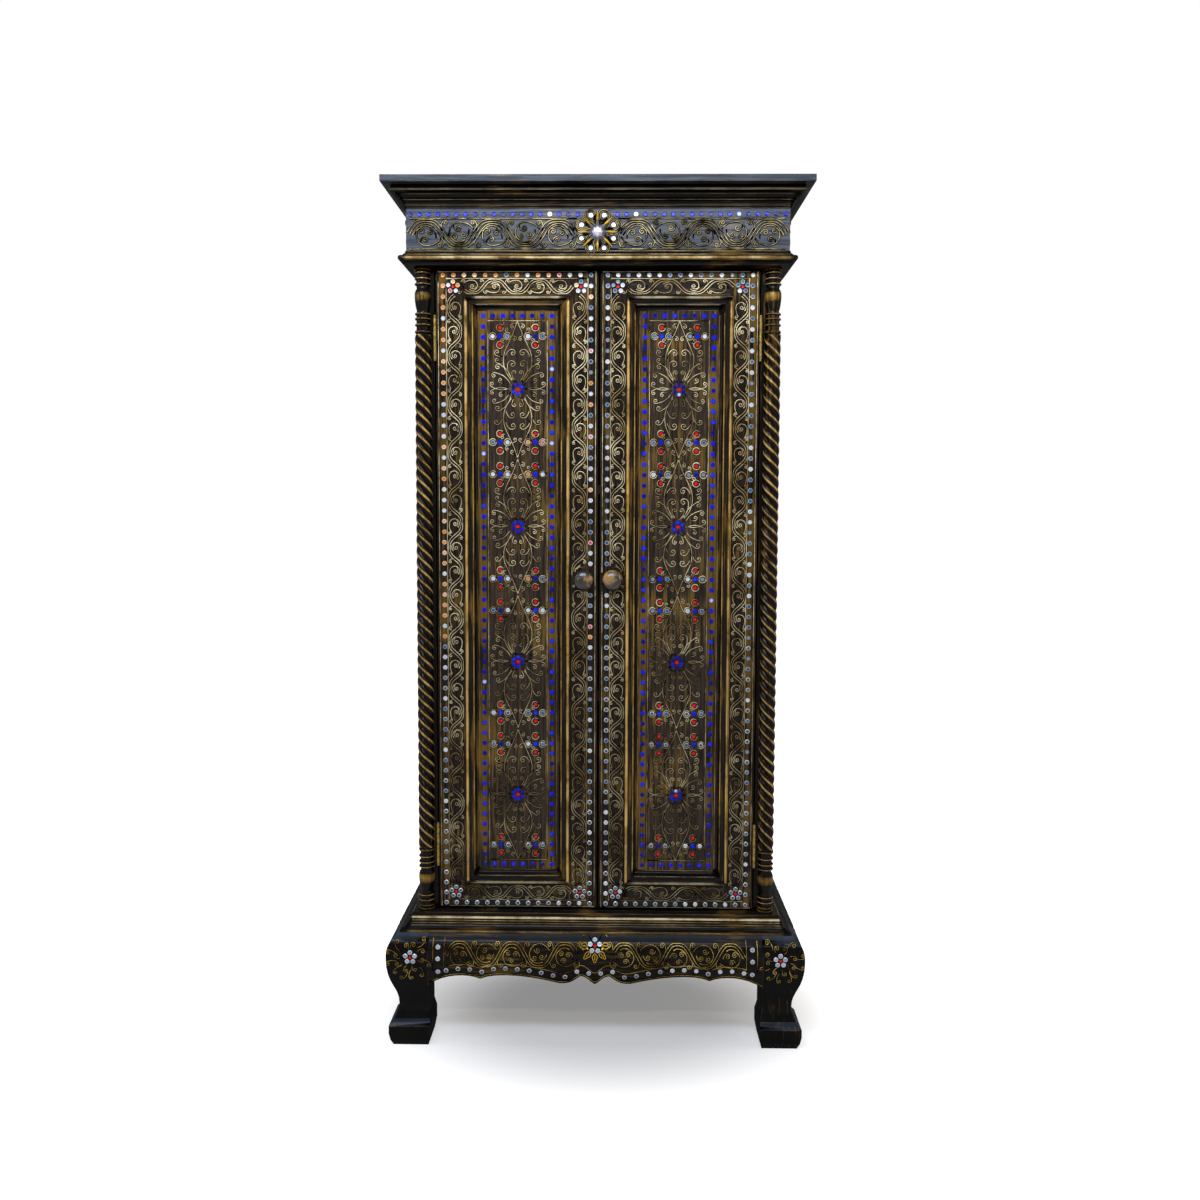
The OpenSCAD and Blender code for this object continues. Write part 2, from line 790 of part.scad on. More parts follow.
module frame_hinge_screws() {
    color(bronze)
        for (side = [-1, 1])
            on_door(side)
                screws(-door_gap, -1);
}

module hinge_stile(side) {
    w = stile_w(side);
    color(lacquer)
        on_door(side)
            difference() {
                block([0, door_y, door_z0], [w, door_y + door_t, door_z1]);
                for (z = hinge_zs)
                    block([-1, door_y - 1, z], [leaf_t, leaf_y1, z + hinge_l]);
                screw_holes(0, 1);
                panel_groove(side);
                mortises(w - tenon_l, w + 1);
            }
}

// Room round the spigot for the glue
spigot_fit = 0.1;
module meeting_stile(side) {
    dw = door_w(side);
    w = stile_w(side);
    color(lacquer)
        on_door(side)
            difference() {
                block([dw - w, door_y, door_z0], [dw, door_y + door_t, door_z1]);
                panel_groove(side);
                mortises(dw - w - 1, dw - w + tenon_l);
                translate([dw - stile_vis(side)/2, door_y, door_z0 + knob_up])
                    rotate([-90, 0, 0])
                        cylinder(h = spigot_l, r = spigot_r + spigot_fit, $fn = 48);
            }
}

tenon_y = door_y + (door_t - tenon_t)/2 + 3;
tenon_cut = 8;
module mortises(x0, x1) {
    for (z = [door_z0, door_z1 - rail_h])
        block([x0, tenon_y, z + tenon_cut],
            [x1, tenon_y + tenon_t, z + rail_h - tenon_cut - groove_d]);
}

module panel_groove(side) {
    w = stile_w(side) - groove_d - 1;
    block([w, panel_y, door_z0 + rail_h - groove_d - 1],
        [door_w(side) - w, panel_y + panel_t, door_z1 - rail_h + groove_d + 1]);
}

module door_rail(side, z) {
    w = stile_w(side);
    color(lacquer)
        on_door(side)
            difference() {
                union() {
                    block([w, door_y, z], [door_w(side) - w, door_y + door_t, z + rail_h]);
                    block([w - tenon_l, tenon_y, z + tenon_cut],
                        [door_w(side) - w + tenon_l, tenon_y + tenon_t,
                            z + rail_h - tenon_cut - groove_d]);
                }
                panel_groove(side);
            }
}

module door_panel(side) {
    w = stile_w(side) - groove_d;
    color(lacquer)
        on_door(side)
            block([w, panel_y, door_z0 + rail_h - groove_d],
                [door_w(side) - w, panel_y + panel_t, door_z1 - rail_h + groove_d]);
}

// A tall bead that laps onto the frame, a slope, a small bead and a hollow to the panel
mould_profile = concat(
    arc([mould_lap/2, bead_h - mould_lap/2], mould_lap/2, 180, 0),
    arc([mould_w*0.64, 0], 1.5, 180, 0, 5),
    curve([mould_w*0.72, -1.5], [mould_w*0.74, -panel_depth*0.5],
        [mould_w*0.8, -panel_depth*0.8], [mould_w*0.92, -panel_depth*0.82], 5),
    [[mould_w, -panel_depth*0.85], [mould_w, -panel_depth], [mould_lap, -panel_depth],
        [mould_lap, 0], [0, 0]]);

// A mitred strip along x, its outer edge on top
module mould_strip(length) {
    intersection() {
        rotate([90, 0, 90])
            linear_extrude(length)
                polygon([for (p = mould_profile) [door_y - p[1], -p[0]]]);
        rotate([90, 0, 0])
            translate([0, 0, -big/2])
                linear_extrude(big)
                    polygon([[hairline, 0], [length - hairline, 0],
                        [length - mould_w - hairline, -mould_w],
                        [mould_w + hairline, -mould_w]]);
    }
}

module panel_moulding(side) {
    vis = stile_vis(side);
    color(bronze)
        on_door(side) {
            translate([vis, 0, frame_hi])
                mould_strip(panel_frame_w);
            translate([vis, 0, frame_lo])
                mirror([0, 0, 1])
                    mould_strip(panel_frame_w);
            translate([vis, 0, frame_lo])
                rotate([0, -90, 0])
                    mould_strip(frame_hi - frame_lo);
            translate([vis + panel_frame_w, 0, frame_lo])
                mirror([1, 0, 0])
                    rotate([0, -90, 0])
                        mould_strip(frame_hi - frame_lo);
        }
}

// A turned knob: collar, thin neck and a domed head, with a spigot behind
knob_foot = knob_r*0.56;
knob_outline = concat(
    [[0, -spigot_l], [spigot_r, -spigot_l], [spigot_r, 0], [knob_foot, 0], [knob_foot, 2.5]],
    curve([knob_foot - 1, 3], [knob_r*0.34, 4], [knob_r*0.32, knob_l*0.2],
        [knob_r*0.34, knob_l*0.39], 5),
    [for (a = [-60:15:75]) [knob_r*cos(a), knob_l*(0.62 + (a < 0 ? 0.24 : 0.38)*sin(a))]],
    [[0, knob_l]]);

module knob(side) {
    color(brown_tone)
        on_door(side)
            translate([door_w(side) - stile_vis(side)/2, door_y, door_z0 + knob_up])
                rotate([90, 0, 0])
                    rotate_extrude($fn = 48)
                        polygon(knob_outline);
}

module door_hinge_leaves(side) {
    color(bronze)
        on_door(side)
            leaf(1);
}

module door_screws(side) {
    color(bronze)
        on_door(side)
            screws(0, 1);
}

catch_in = 42;
strike_in = 3;
module strike_plate(side) {
    color(bronze)
        on_door(side)
            block([door_w(side) - catch_in - catch_l/2 + strike_in, door_y + door_t,
                    door_z1 - catch_h],
                [door_w(side) - catch_in + catch_l/2 - strike_in, door_y + door_t + strike_t,
                    door_z1 - strike_in]);
}

// Magnetic catches under the top board, a slot for the magnet in each face
catch_y = door_y + door_t + strike_t + strike_gap;
module magnetic_catches() {
    color(brown_tone)
        for (side = [-1, 1])
            on_door(side)
                translate([door_w(side) - catch_in - catch_l/2, catch_y, neck_z - catch_h])
                    difference() {
                        cube([catch_l, catch_d, catch_h]);
                        translate([catch_l*0.14, -1, catch_h*0.3])
                            cube([catch_l*0.72, 2.5, catch_h*0.38]);
                    }
}

// Round glass on a face at y that looks to the front; points are [x, z]
module glass(points, y, r = glass_r) {
    for (p = points)
        translate([p[0], y, p[1]])
            rotate([90, 0, 0])
                cylinder(h = glass_t, r = r, $fn = 24);
}

// A border of evenly spaced pieces round a rectangle, with one at each corner
function border(low, high) = let (size = high - low, nx = ceil(size[0]/glass_pitch),
    nz = ceil(size[1]/glass_pitch)) concat(
    [for (i = [0:nx], z = [low[1], high[1]]) [low[0] + size[0]*i/nx, z]],
    [for (i = [1:nz - 1], x = [low[0], high[0]]) [x, low[1] + size[1]*i/nz]]);
function petals(centre, n, r = petal_ring, first = 0) = [for (i = [0:n - 1])
    let (a = first + 360*i/n) centre + r*[sin(a), cos(a)]];

function corner_flowers(side) = [for (x = [flower_in, door_w(side) - flower_in],
    z = [door_z0 + flower_end, door_z1 - flower_end]) [x, z]];
flower_end = flower_in - 2.5;
panel_mid = (frame_lo + frame_hi)/2;
panel_h = frame_hi - frame_lo - 2*mould_w;
rosette_step = panel_h*0.242;
rosette_zs = [for (i = [-1.5:1.5]) panel_mid + i*rosette_step];
// Four-petal flowers stand in pairs over and under each rosette
four_x = 32;
four_z = rosette_step*0.383;
four_arm = [13.3, 15.5];
function four_flowers(side) = [for (z = rosette_zs, sx = [-1, 1], sz = [-1, 1])
    [door_w(side)/2 + sx*four_x, z + sz*four_z]];
small_r = glass_r*0.83;
heart_r = glass_r*0.7;

module door_clear_glass(side) {
    dw = door_w(side);
    knob_at = [dw - stile_vis(side)/2, door_z0 + knob_up];
    color(clear_tone)
        on_door(side) {
            glass([for (p = border([border_in, door_z0 + border_end],
                [dw - border_in, door_z1 - border_end]))
                if (norm(p - knob_at) > knob_foot + glass_r + 1) p], door_y);
            for (c = corner_flowers(side))
                glass(petals(c, 5), door_y, glass_r*0.97);
            glass([for (c = four_flowers(side), s = [-1, 1]) c + [s*four_arm[0], 0]], panel_y);
        }
}

module door_blue_glass(side) {
    in = stile_vis(side) + mould_w + panel_border_in;
    end = mould_w + panel_border_in;
    color(blue_tone)
        on_door(side) {
            glass(border([in, frame_lo + end], [door_w(side) - in, frame_hi - end]), panel_y);
            for (z = rosette_zs)
                glass(petals([door_w(side)/2, z], 6), panel_y, small_r);
            glass(four_flowers(side), panel_y);
        }
}

module door_red_glass(side) {
    color(red_tone)
        on_door(side) {
            glass(corner_flowers(side), door_y, heart_r);
            glass([for (z = rosette_zs) [door_w(side)/2, z]], panel_y, small_r);
            glass([for (c = four_flowers(side), s = [-1, 1]) c + [0, s*four_arm[1]]],
                panel_y, small_r);
        }
}

// Glass on the frieze: a row along its top edge, broken by the medallion
row_z = cornice_z - 10;
row_pitch = 18;
row_end = 8;
// The ring of eight pieces round the middle of the frieze stands just over the moulding
// below it, with none straight over or beside the cut glass
ring_n = 8;
ring_gap = 0.4;
medallion_up = frieze_h*0.45;
medallion_z = frieze_z + medallion_up;
medallion_r = (medallion_up - glass_r - ring_gap)/cos(180/ring_n);
row_start = medallion_r + glass_r;
frieze_y = front_y - frieze_reach;
frieze_x = half_w + frieze_reach;
row_n = ceil((frieze_x - medallion_r)/row_pitch);
row_x = [for (i = [0:row_n]) row_start + (frieze_x - row_end - row_start)*i/row_n];
side_row_n = ceil((body_d + frieze_reach - 2*row_end)/row_pitch);
side_row_y = [for (i = [0:side_row_n]) frieze_y + row_end
    + (back_y - frieze_y - 2*row_end)*i/side_row_n];
// The one clear piece in each half of the front row, counted from the middle
function clear_at(s) = s < 0 ? 3 : 2;

module frieze_blue_glass() {
    color(blue_tone) {
        glass([for (s = [-1, 1], x = row_x) if (x != row_x[clear_at(s)]) [s*x, row_z]], frieze_y);
        both_sides()
            for (y = side_row_y)
                translate([frieze_x, y, row_z])
                    rotate([0, 90, 0])
                        cylinder(h = glass_t, r = glass_r, $fn = 24);
    }
}

// A glass piece on the bulging front of the stand, tilted to lie on it
module on_knee(x, z, r = glass_r) {
    translate([x, front_y - knee_at(z) - seat_gap, z])
        rotate([90 - knee_lean(z), 0, 0])
            cylinder(h = glass_t, r = r, $fn = 24);
}

// The same on the right side of the stand
module on_side(y, z, r = glass_r) {
    translate([half_w + knee_at(z) + seat_gap, y, z])
        rotate([0, 90 - knee_lean(z), 0])
            cylinder(h = glass_t, r = r, $fn = 24);
}

scallop_table = [for (p = scallop) [-p[0], p[1]]];
side_table = [for (p = side_scallop) [-p[0], p[1]]];
edge_up = 14;
apron_n = 13;
side_n = 7;
leg_mid = [half_w + (knee_reach + inner_reach)/2 - 7, knee_z + 2];
apron_flower = [0, knee_z + 0.62*(stand_h - knee_z)];
// Clear glass stands this far from the legs along the scallops
leg_clear = 24;
jewel_h = 4;
// Heights of the upright row beside each leg
end_zs = [for (f = [0.69, 0.81, 0.91]) f*stand_h];

module cabinet_clear_glass() {
    color(clear_tone) {
        glass([for (s = [-1, 1]) [s*row_x[clear_at(s)], row_z]], frieze_y);
        glass(petals([0, medallion_z], ring_n, medallion_r, 180/ring_n), frieze_y);
        translate([0, frieze_y, medallion_z])
            rotate([90, 0, 0])
                cylinder(h = jewel_h, r1 = jewel_r, r2 = jewel_r*0.55, $fn = 32);
        both_sides() {
            for (i = [0.5:apron_n]) {
                x = (leg_in - leg_clear)*i/apron_n;
                on_knee(x, lookup(-x, scallop_table) + edge_up);
            }
            for (z = end_zs)
                on_knee(leg_in - leg_clear + 4, z);
            for (p = petals(leg_mid, 5))
                on_knee(p[0], p[1]);
            for (i = [-side_n:side_n]) {
                y = (side_half - leg_clear)*i/side_n;
                on_side(side_mid + y, lookup(-abs(y), side_table) + edge_up);
            }
        }
        for (p = petals(apron_flower, 5))
            on_knee(p[0], p[1]);
    }
}

module cabinet_red_glass() {
    color(red_tone) {
        on_knee(apron_flower[0], apron_flower[1], heart_r);
        both_sides()
            on_knee(leg_mid[0], leg_mid[1], heart_r);
    }
}

module left_hinge_stile() {
    hinge_stile(-1);
}

module left_meeting_stile() {
    meeting_stile(-1);
}

module left_top_rail() {
    door_rail(-1, door_z1 - rail_h);
}

module left_bottom_rail() {
    door_rail(-1, door_z0);
}

module left_panel() {
    door_panel(-1);
}

module left_panel_moulding() {
    panel_moulding(-1);
}

module left_knob() {
    knob(-1);
}

module left_hinge_leaves() {
    door_hinge_leaves(-1);
}

module left_hinge_screws() {
    door_screws(-1);
}

module left_strike_plate() {
    strike_plate(-1);
}

module left_clear_glass() {
    door_clear_glass(-1);
}

module left_blue_glass() {
    door_blue_glass(-1);
}

module left_red_glass() {
    door_red_glass(-1);
}

module right_hinge_stile() {
    hinge_stile(1);
}

module right_meeting_stile() {
    meeting_stile(1);
}

module right_top_rail() {
    door_rail(1, door_z1 - rail_h);
}

module right_bottom_rail() {
    door_rail(1, door_z0);
}

module right_panel() {
    door_panel(1);
}

module right_panel_moulding() {
    panel_moulding(1);
}

module right_knob() {
    knob(1);
}

module right_hinge_leaves() {
    door_hinge_leaves(1);
}

module right_hinge_screws() {
    door_screws(1);
}

module right_strike_plate() {
    strike_plate(1);
}

module right_clear_glass() {
    door_clear_glass(1);
}

module right_blue_glass() {
    door_blue_glass(1);
}

module right_red_glass() {
    door_red_glass(1);
}

leg_front_left();
leg_front_right();
leg_rear_left();
leg_rear_right();
front_apron();
side_aprons();
stand_rear_rail();
stand_frame();
waist_moulding();
bottom_board();
carcass_top();
front_post_left();
front_post_right();
rear_posts();
side_rails();
side_panels();
back_panel();
left_column();
right_column();
upper_shelf();
lower_shelf();
shelf_cleats();
neck_moulding();
frieze_boards();
cornice_moulding();
top_board();
frame_hinge_leaves();
hinge_pins();
frame_hinge_screws();
magnetic_catches();
frieze_blue_glass();
cabinet_clear_glass();
cabinet_red_glass();
left_hinge_stile();
left_meeting_stile();
left_top_rail();
left_bottom_rail();
left_panel();
left_panel_moulding();
left_knob();
left_hinge_leaves();
left_hinge_screws();
left_strike_plate();
left_clear_glass();
left_blue_glass();
left_red_glass();
right_hinge_stile();
right_meeting_stile();
right_top_rail();
right_bottom_rail();
right_panel();
right_panel_moulding();
right_knob();
right_hinge_leaves();
right_hinge_screws();
right_strike_plate();
right_clear_glass();
right_blue_glass();
right_red_glass();
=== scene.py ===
import bpy
import bmesh
import json
import numpy as np
from cmath import rect, phase
from functools import partial
from math import acos, atan2, ceil, cos, floor, hypot, pi, radians, sin
from random import Random
from mathutils import Matrix, Vector, noise
from mathutils.bvhtree import BVHTree


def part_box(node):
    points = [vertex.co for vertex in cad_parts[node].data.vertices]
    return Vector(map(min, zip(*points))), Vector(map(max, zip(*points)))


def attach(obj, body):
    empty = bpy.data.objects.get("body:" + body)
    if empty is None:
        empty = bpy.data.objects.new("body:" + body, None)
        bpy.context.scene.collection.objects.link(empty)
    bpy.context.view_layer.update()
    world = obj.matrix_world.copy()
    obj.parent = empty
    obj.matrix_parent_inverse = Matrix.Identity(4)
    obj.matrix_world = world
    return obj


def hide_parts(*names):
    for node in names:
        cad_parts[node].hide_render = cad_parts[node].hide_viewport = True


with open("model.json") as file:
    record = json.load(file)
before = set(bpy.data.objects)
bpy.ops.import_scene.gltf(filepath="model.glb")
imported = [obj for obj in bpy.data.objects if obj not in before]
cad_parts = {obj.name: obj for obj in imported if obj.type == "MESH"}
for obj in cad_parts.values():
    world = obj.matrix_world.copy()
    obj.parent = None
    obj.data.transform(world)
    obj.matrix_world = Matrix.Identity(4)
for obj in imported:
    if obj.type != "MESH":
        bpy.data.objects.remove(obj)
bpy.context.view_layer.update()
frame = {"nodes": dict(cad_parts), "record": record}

nodes = frame["nodes"]
record = frame["record"]
MM = 0.001


# The camera stands where the photograph's camera stood: in front of the right door, a little
# under the middle of the cabinet's height, looking almost level.
photo_px = 1200
focal_px = 970.5
horizon_row_px = 566.25
camera_place = Vector((0.03106, -1.92297, 0.97813))
yaw, pitch, roll = -0.0142, 0.0601, 0.0035

right = Vector((cos(yaw), -sin(yaw), 0))
ahead = Vector((sin(yaw), cos(yaw), 0))
up = Vector((0, 0, 1))
ahead, up = ahead*cos(pitch) - up*sin(pitch), up*cos(pitch) + ahead*sin(pitch)
right, up = right*cos(roll) + up*sin(roll), up*cos(roll) - right*sin(roll)

camera_data = bpy.data.cameras.new("camera")
camera_data.sensor_width = 36
camera_data.lens = camera_data.sensor_width*focal_px/photo_px
camera_data.shift_y = (horizon_row_px - photo_px/2)/photo_px
camera = bpy.data.objects.new("camera", camera_data)
camera.matrix_world = Matrix.Translation(camera_place) @ Matrix((right, up, -ahead)).transposed().to_4x4()
bpy.context.scene.collection.objects.link(camera)
bpy.context.scene.camera = camera
bpy.context.scene.view_settings.view_transform = "Standard"


def colour(code):
    """A hex colour as the linear one that the shaders take"""
    parts = [int(code[i:i + 2], 16)/255 for i in (1, 3, 5)]
    return [c/12.92 if c <= 0.04045 else ((c + 0.055)/1.055)**2.4 for c in parts] + [1]


def add_node(tree, kind, sockets=(), out=None, **settings):
    """Adds a shader node and gives its output. The sockets, in order or by name, take a number, a
    hex colour or the output of another node. A MapRange takes its value, the range that it lies
    in and the range that it is turned into"""
    made = tree.nodes.new("ShaderNode" + kind)
    for name, value in settings.items():
        setattr(made, name, value)
    for key, value in sockets.items() if isinstance(sockets, dict) else enumerate(sockets):
        if isinstance(value, bpy.types.NodeSocket):
            tree.links.new(value, made.inputs[key])
        else:
            made.inputs[key].default_value = colour(value) if isinstance(value, str) else value
    return next((o for o in made.outputs if o.enabled and out in (None, o.name)), None)


def new_material(name):
    """An empty material, the function that adds a node to it, and the place of each point"""
    made = bpy.data.materials.new(name)
    made.use_nodes = True
    made.node_tree.nodes.clear()
    add = partial(add_node, made.node_tree)
    return made, add, add("TexCoord", out="Object")


# A studio of soft white light: a broad lamp high in front, a strip that draws thin bright lines
# along the mouldings, a long lamp on each side, one overhead that keeps the shadow under the
# cabinet, and one behind. The room around is even and pale.
def lamp(name, place, aim, size, power, tint="#ffffff"):
    """A rectangular lamp that looks at a point"""
    data = bpy.data.lights.new(name, "AREA")
    data.shape = "RECTANGLE"
    data.size, data.size_y = size
    data.energy = power
    data.color = colour(tint)[:3]
    made = bpy.data.objects.new(name, data)
    made.location = place
    made.rotation_euler = (Vector(aim) - Vector(place)).to_track_quat("-Z", "Y").to_euler()
    bpy.context.scene.collection.objects.link(made)


lamp("front_high", (-0.25, -1.4, 2.05), (0, -0.1, 1.4), (1.5, 0.35), 33, "#dce8ff")
lamp("strip", (0.1, -2.2, 2.05), (0, -0.15, 1.1), (1.7, 0.05), 11, "#fffaf0")
lamp("left_side", (-2.4, -1.2, 1.9), (0, 0, 1.0), (0.3, 1.4), 12, "#cfe0ff")
lamp("right_side", (2.5, -0.9, 1.7), (0, 0, 1.0), (0.3, 1.4), 10, "#fff1dc")
lamp("overhead", (0, 0.2, 3.5), (0, 0.1, 0), (1.8, 1.5), 34)
lamp("back", (0.4, 2.8, 2.4), (0, 0.2, 0.8), (2.2, 1.2), 36)

room_light = 0.12
world = bpy.data.worlds.new("room")
world.use_nodes = True
world.node_tree.nodes.clear()
add = partial(add_node, world.node_tree)
seen = 0
for ray in ("Is Camera Ray", "Is Glossy Ray", "Is Transmission Ray"):
    seen = add("Math", [seen, add("LightPath", out=ray)], operation="MAXIMUM")
level = add("MapRange", [seen, 0, 1, room_light, 1])
add("OutputWorld", [add("Background", ["#ffffff", level])])
bpy.context.scene.world = world

# The floor is plain and pale, and fades into the white of the room a step from the cabinet: its glow
# for camera and glossy rays is held down round the cabinet, a painted shadow there.
floor_half = 14
shadow_centre = (0.02, -0.08, 0)
shadow_half = (0.6, 0.42, 1)
floor_mesh = bpy.data.meshes.new("floor")
shape = bmesh.new()
bmesh.ops.create_grid(shape, x_segments=1, y_segments=1, size=floor_half)
shape.to_mesh(floor_mesh)
floor_piece = bpy.data.objects.new("floor", floor_mesh)
bpy.context.scene.collection.objects.link(floor_piece)
matt_floor, add, place = new_material("matt_floor")
seen = 0
for ray in ("Is Camera Ray", "Is Glossy Ray"):
    seen = add("Math", [seen, add("LightPath", out=ray)], operation="MAXIMUM")
away = add("VectorMath", [place, shadow_centre], operation="SUBTRACT")
away = add("VectorMath", [away, shadow_half], operation="DIVIDE")
away = add("VectorMath", [away], operation="LENGTH")
# The glow is least near the cabinet: a painted shadow on the floor
painted_shadow_lift = add("MapRange", [away, 0.3, 1, 0.26, 1], interpolation_type="SMOOTHSTEP")
painted_shadow_lift = add("Math", [painted_shadow_lift, seen], operation="MULTIPLY")
paint = add("BsdfDiffuse", ["#c0bdb9"])
glow = add("Emission", ["#ffffff", painted_shadow_lift])
add("OutputMaterial", [add("AddShader", [paint, glow])])
floor_mesh.materials.append(matt_floor)


# The stand: four cabriole legs sawn from solid wood, with aprons between them, carved,
# blackened, and rubbed with gold powder so that every corner and crest has a worn gold line under a
# painted highlight. Faces that look up carry a painted blue-grey sheen.
brush_stretch = 0.05
band_half, band_reach = 6*MM, 9*MM


def rubbed_lacquer(name, grain, rub, ground, glow, edge=1.0, rubbed="#a58a55", undercoat=0.0,
        wax=0.1, pale=0.4, painted_sheen=0.0, bands=()):
    """Black lacquer over red, with gold powder rubbed into its brush marks, which run up or
    across, and waxed: dark and silky, with dull gold streaks and gold along each crest. The most
    rubbed crests carry a pale line, which is a painted highlight, and faces that look up may carry a
    painted blue-grey sheen of the light from above. More gold is left in upright bands, given as
    distance from the middle and amount. The wax shines most where it is seen straight on, because
    brush marks break it up at a glancing angle"""
    made, add, place = new_material(name)
    stretch = {"up": (1, 1, brush_stretch), "across": (brush_stretch, brush_stretch, 1)}[grain]
    brushed = add("Mapping", {"Vector": place, "Scale": stretch})
    # Brush marks are 3 to 6 mm apart, and the rubbing comes and goes over 10 to 25 cm
    marks = add("TexNoise", {"Vector": brushed, "Scale": 210, "Detail": 5, "Roughness": 0.62})
    fine = add("TexNoise", {"Vector": brushed, "Scale": 600, "Detail": 3, "Roughness": 0.7})
    patches = add("TexNoise", {"Vector": place, "Scale": 7, "Detail": 3, "Roughness": 0.55})
    mottle = add("TexNoise", {"Vector": place, "Scale": 22, "Detail": 7, "Roughness": 0.68})
    both = add("Math", [marks, patches], operation="ADD")
    low = 1.16 - 0.22*rub
    for middle, more in bands:
        side = add("Math", [add("SeparateXYZ", [place], out="X")], operation="ABSOLUTE")
        off = add("Math", [side, middle], operation="SUBTRACT")
        off = add("Math", [off], operation="ABSOLUTE")
        off = add("MapRange", [off, band_half, band_reach, more, 0])
        both = add("Math", [both, off], operation="ADD")
    gilded = add("MapRange", [both, low, low + 0.14, 0, 0.3 + 0.7*rub])
    worn = add("Attribute", out="Fac", attribute_name="worn")
    broken = add("MapRange", [mottle, 0.36, 0.6, 0.55 + 0.15*pale])
    crest = add("Math", [worn, broken], operation="MULTIPLY")
    # The pale line on the most rubbed crests is a painted highlight, as strong as pale sets
    line = add("MapRange", [crest, 0.55, 0.85, 0, pale])
    crest = add("MapRange", [crest, 0.3, 0.8, 0, edge])
    dulled = add("MapRange", [marks, 0.34, 0.62])
    base = add("Mix", {0: dulled, 6: ground, 7: glow}, data_type="RGBA")
    gold = add("Mix", {0: fine, 6: "#3a2a10", 7: "#96722a"}, data_type="RGBA")
    skin = add("Mix", {0: gilded, 6: base, 7: gold}, data_type="RGBA")
    least = 0.68 - 0.3*undercoat
    bared = add("MapRange", [patches, least, least + 0.08])
    rim = add("Mix", {0: dulled, 6: "#5e471c", 7: rubbed}, data_type="RGBA")
    rim = add("Mix", {0: bared, 6: rim, 7: "#66300f"}, data_type="RGBA")
    rim = add("Mix", {0: line, 6: rim, 7: "#d9cda8"}, data_type="RGBA")
    skin = add("Mix", {0: crest, 6: skin, 7: rim}, data_type="RGBA")
    # Faces that look up are coloured blue-grey: a painted sheen of the light from above
    if painted_sheen:
        normal = add("NewGeometry", out="Normal")
        up = add("SeparateXYZ", [normal], out="Z")
        up = add("MapRange", [up, 0.5, 0.95, 0, painted_sheen])
        up = add("Math", [up, broken], operation="MULTIPLY")
        skin = add("Mix", {0: up, 6: skin, 7: "#5d6b7c"}, data_type="RGBA")
    metal = add("Math", [gilded, crest], operation="MAXIMUM")
    metal = add("Math", [metal, 0.3], operation="MULTIPLY")
    rough = add("MapRange", [mottle, 0.3, 0.7, 0.22, 0.42])
    grooves = add("Math", [marks, fine], operation="ADD")
    bump = add("Bump", {"Height": grooves, "Strength": 0.35, "Distance": 0.0006})
    facing = add("LayerWeight", [0.5], out="Facing")
    shine = add("MapRange", [facing, 0.5, 0.95, wax, wax*0.1])
    add("OutputMaterial", [add("BsdfPrincipled",
        {"Base Color": skin, "Metallic": metal, "Roughness": rough, "Specular IOR Level": 0.0,
        "Coat Weight": shine, "Coat Roughness": 0.16, "Normal": bump})])
    return made


round_r = 4.3*MM


def rows_of(node):
    """How far from the middle the outer upright rows of a right door's rounds lie"""
    low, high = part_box(node)
    return low.x + round_r, high.x - round_r


# In the lacquers below, pale sets how strong the painted highlight along the crests is, and the legs' and
# stand's sheen value how strong the painted blue-grey sheen on faces that look up is
black_up = rubbed_lacquer("gold_rubbed_lacquer_upright", "up", 0.1, "#050404", "#0e0c0a", 0.3,
    undercoat=0.5)
black_across = rubbed_lacquer("gold_rubbed_lacquer_across", "across", 0.1, "#060505", "#100e0c", 0.3,
    undercoat=0.3)
leg_lacquer = rubbed_lacquer("gold_rubbed_lacquer_leg", "up", 0.1, "#050404", "#0d0b0a", 0.5, "#8a6a3c",
    undercoat=0.8, painted_sheen=0.5)
gilt_bead = rubbed_lacquer("gold_rubbed_lacquer_bead", "across", 0.25, "#0a0908", "#1c1815", 1.0,
    "#b8924a", pale=1.0)
stand_across = rubbed_lacquer("gold_rubbed_lacquer_stand", "across", 0.12, "#080706", "#1c1712", 0.8,
    "#8a6a34", undercoat=0.95, painted_sheen=0.15)
# The top board's lacquer is grey-blue, with brown and gold along its edges
grey_blue_top = rubbed_lacquer("grey_blue_lacquer_top", "across", 0.1, "#1d2329", "#424952", 1.0, "#b88c3c",
    undercoat=0.35)
# The frieze's lacquer is grey-blue and lighter than the doors', partly as a painted sheen of the lamps in
# front
grey_frieze_painted_sheen = rubbed_lacquer("grey_lacquer_frieze_painted_sheen", "across", 0.2, "#262a30", "#52575f", 0.6, "#8a8578")
frame_up = rubbed_lacquer("gold_rubbed_lacquer_door", "up", 0.35, "#0f0c0a", "#2a221b", 0.8,
    bands=zip(rows_of("right_clear_glass"), (0.07, 0.16)))
frame_across = rubbed_lacquer("gold_rubbed_lacquer_rail", "across", 0.3, "#11100e", "#2f2a26", 0.8)
bronze_up = rubbed_lacquer("gold_rubbed_lacquer_panel", "up", 0.55, "#1a1510", "#41362c", 0.8,
    bands=zip(rows_of("right_blue_glass"), (0.12, 0.12)))
side_lacquer = rubbed_lacquer("gold_rubbed_lacquer_side", "up", 0.35, "#0f0c0a", "#2a221b", 0.8)


def cut_slices(bm, axis, step, low, high):
    """Cuts a mesh into slices across one axis, so that long pieces can be a little uneven"""
    way = Vector([axis == i for i in range(3)])
    for i in range(floor(low[axis]/step) + 1, ceil(high[axis]/step)):
        bmesh.ops.bisect_plane(bm, geom=bm.verts[:] + bm.edges[:] + bm.faces[:], plane_co=way*i*step,
            plane_no=way)


narrow = 4*MM
least_l = 1e-5


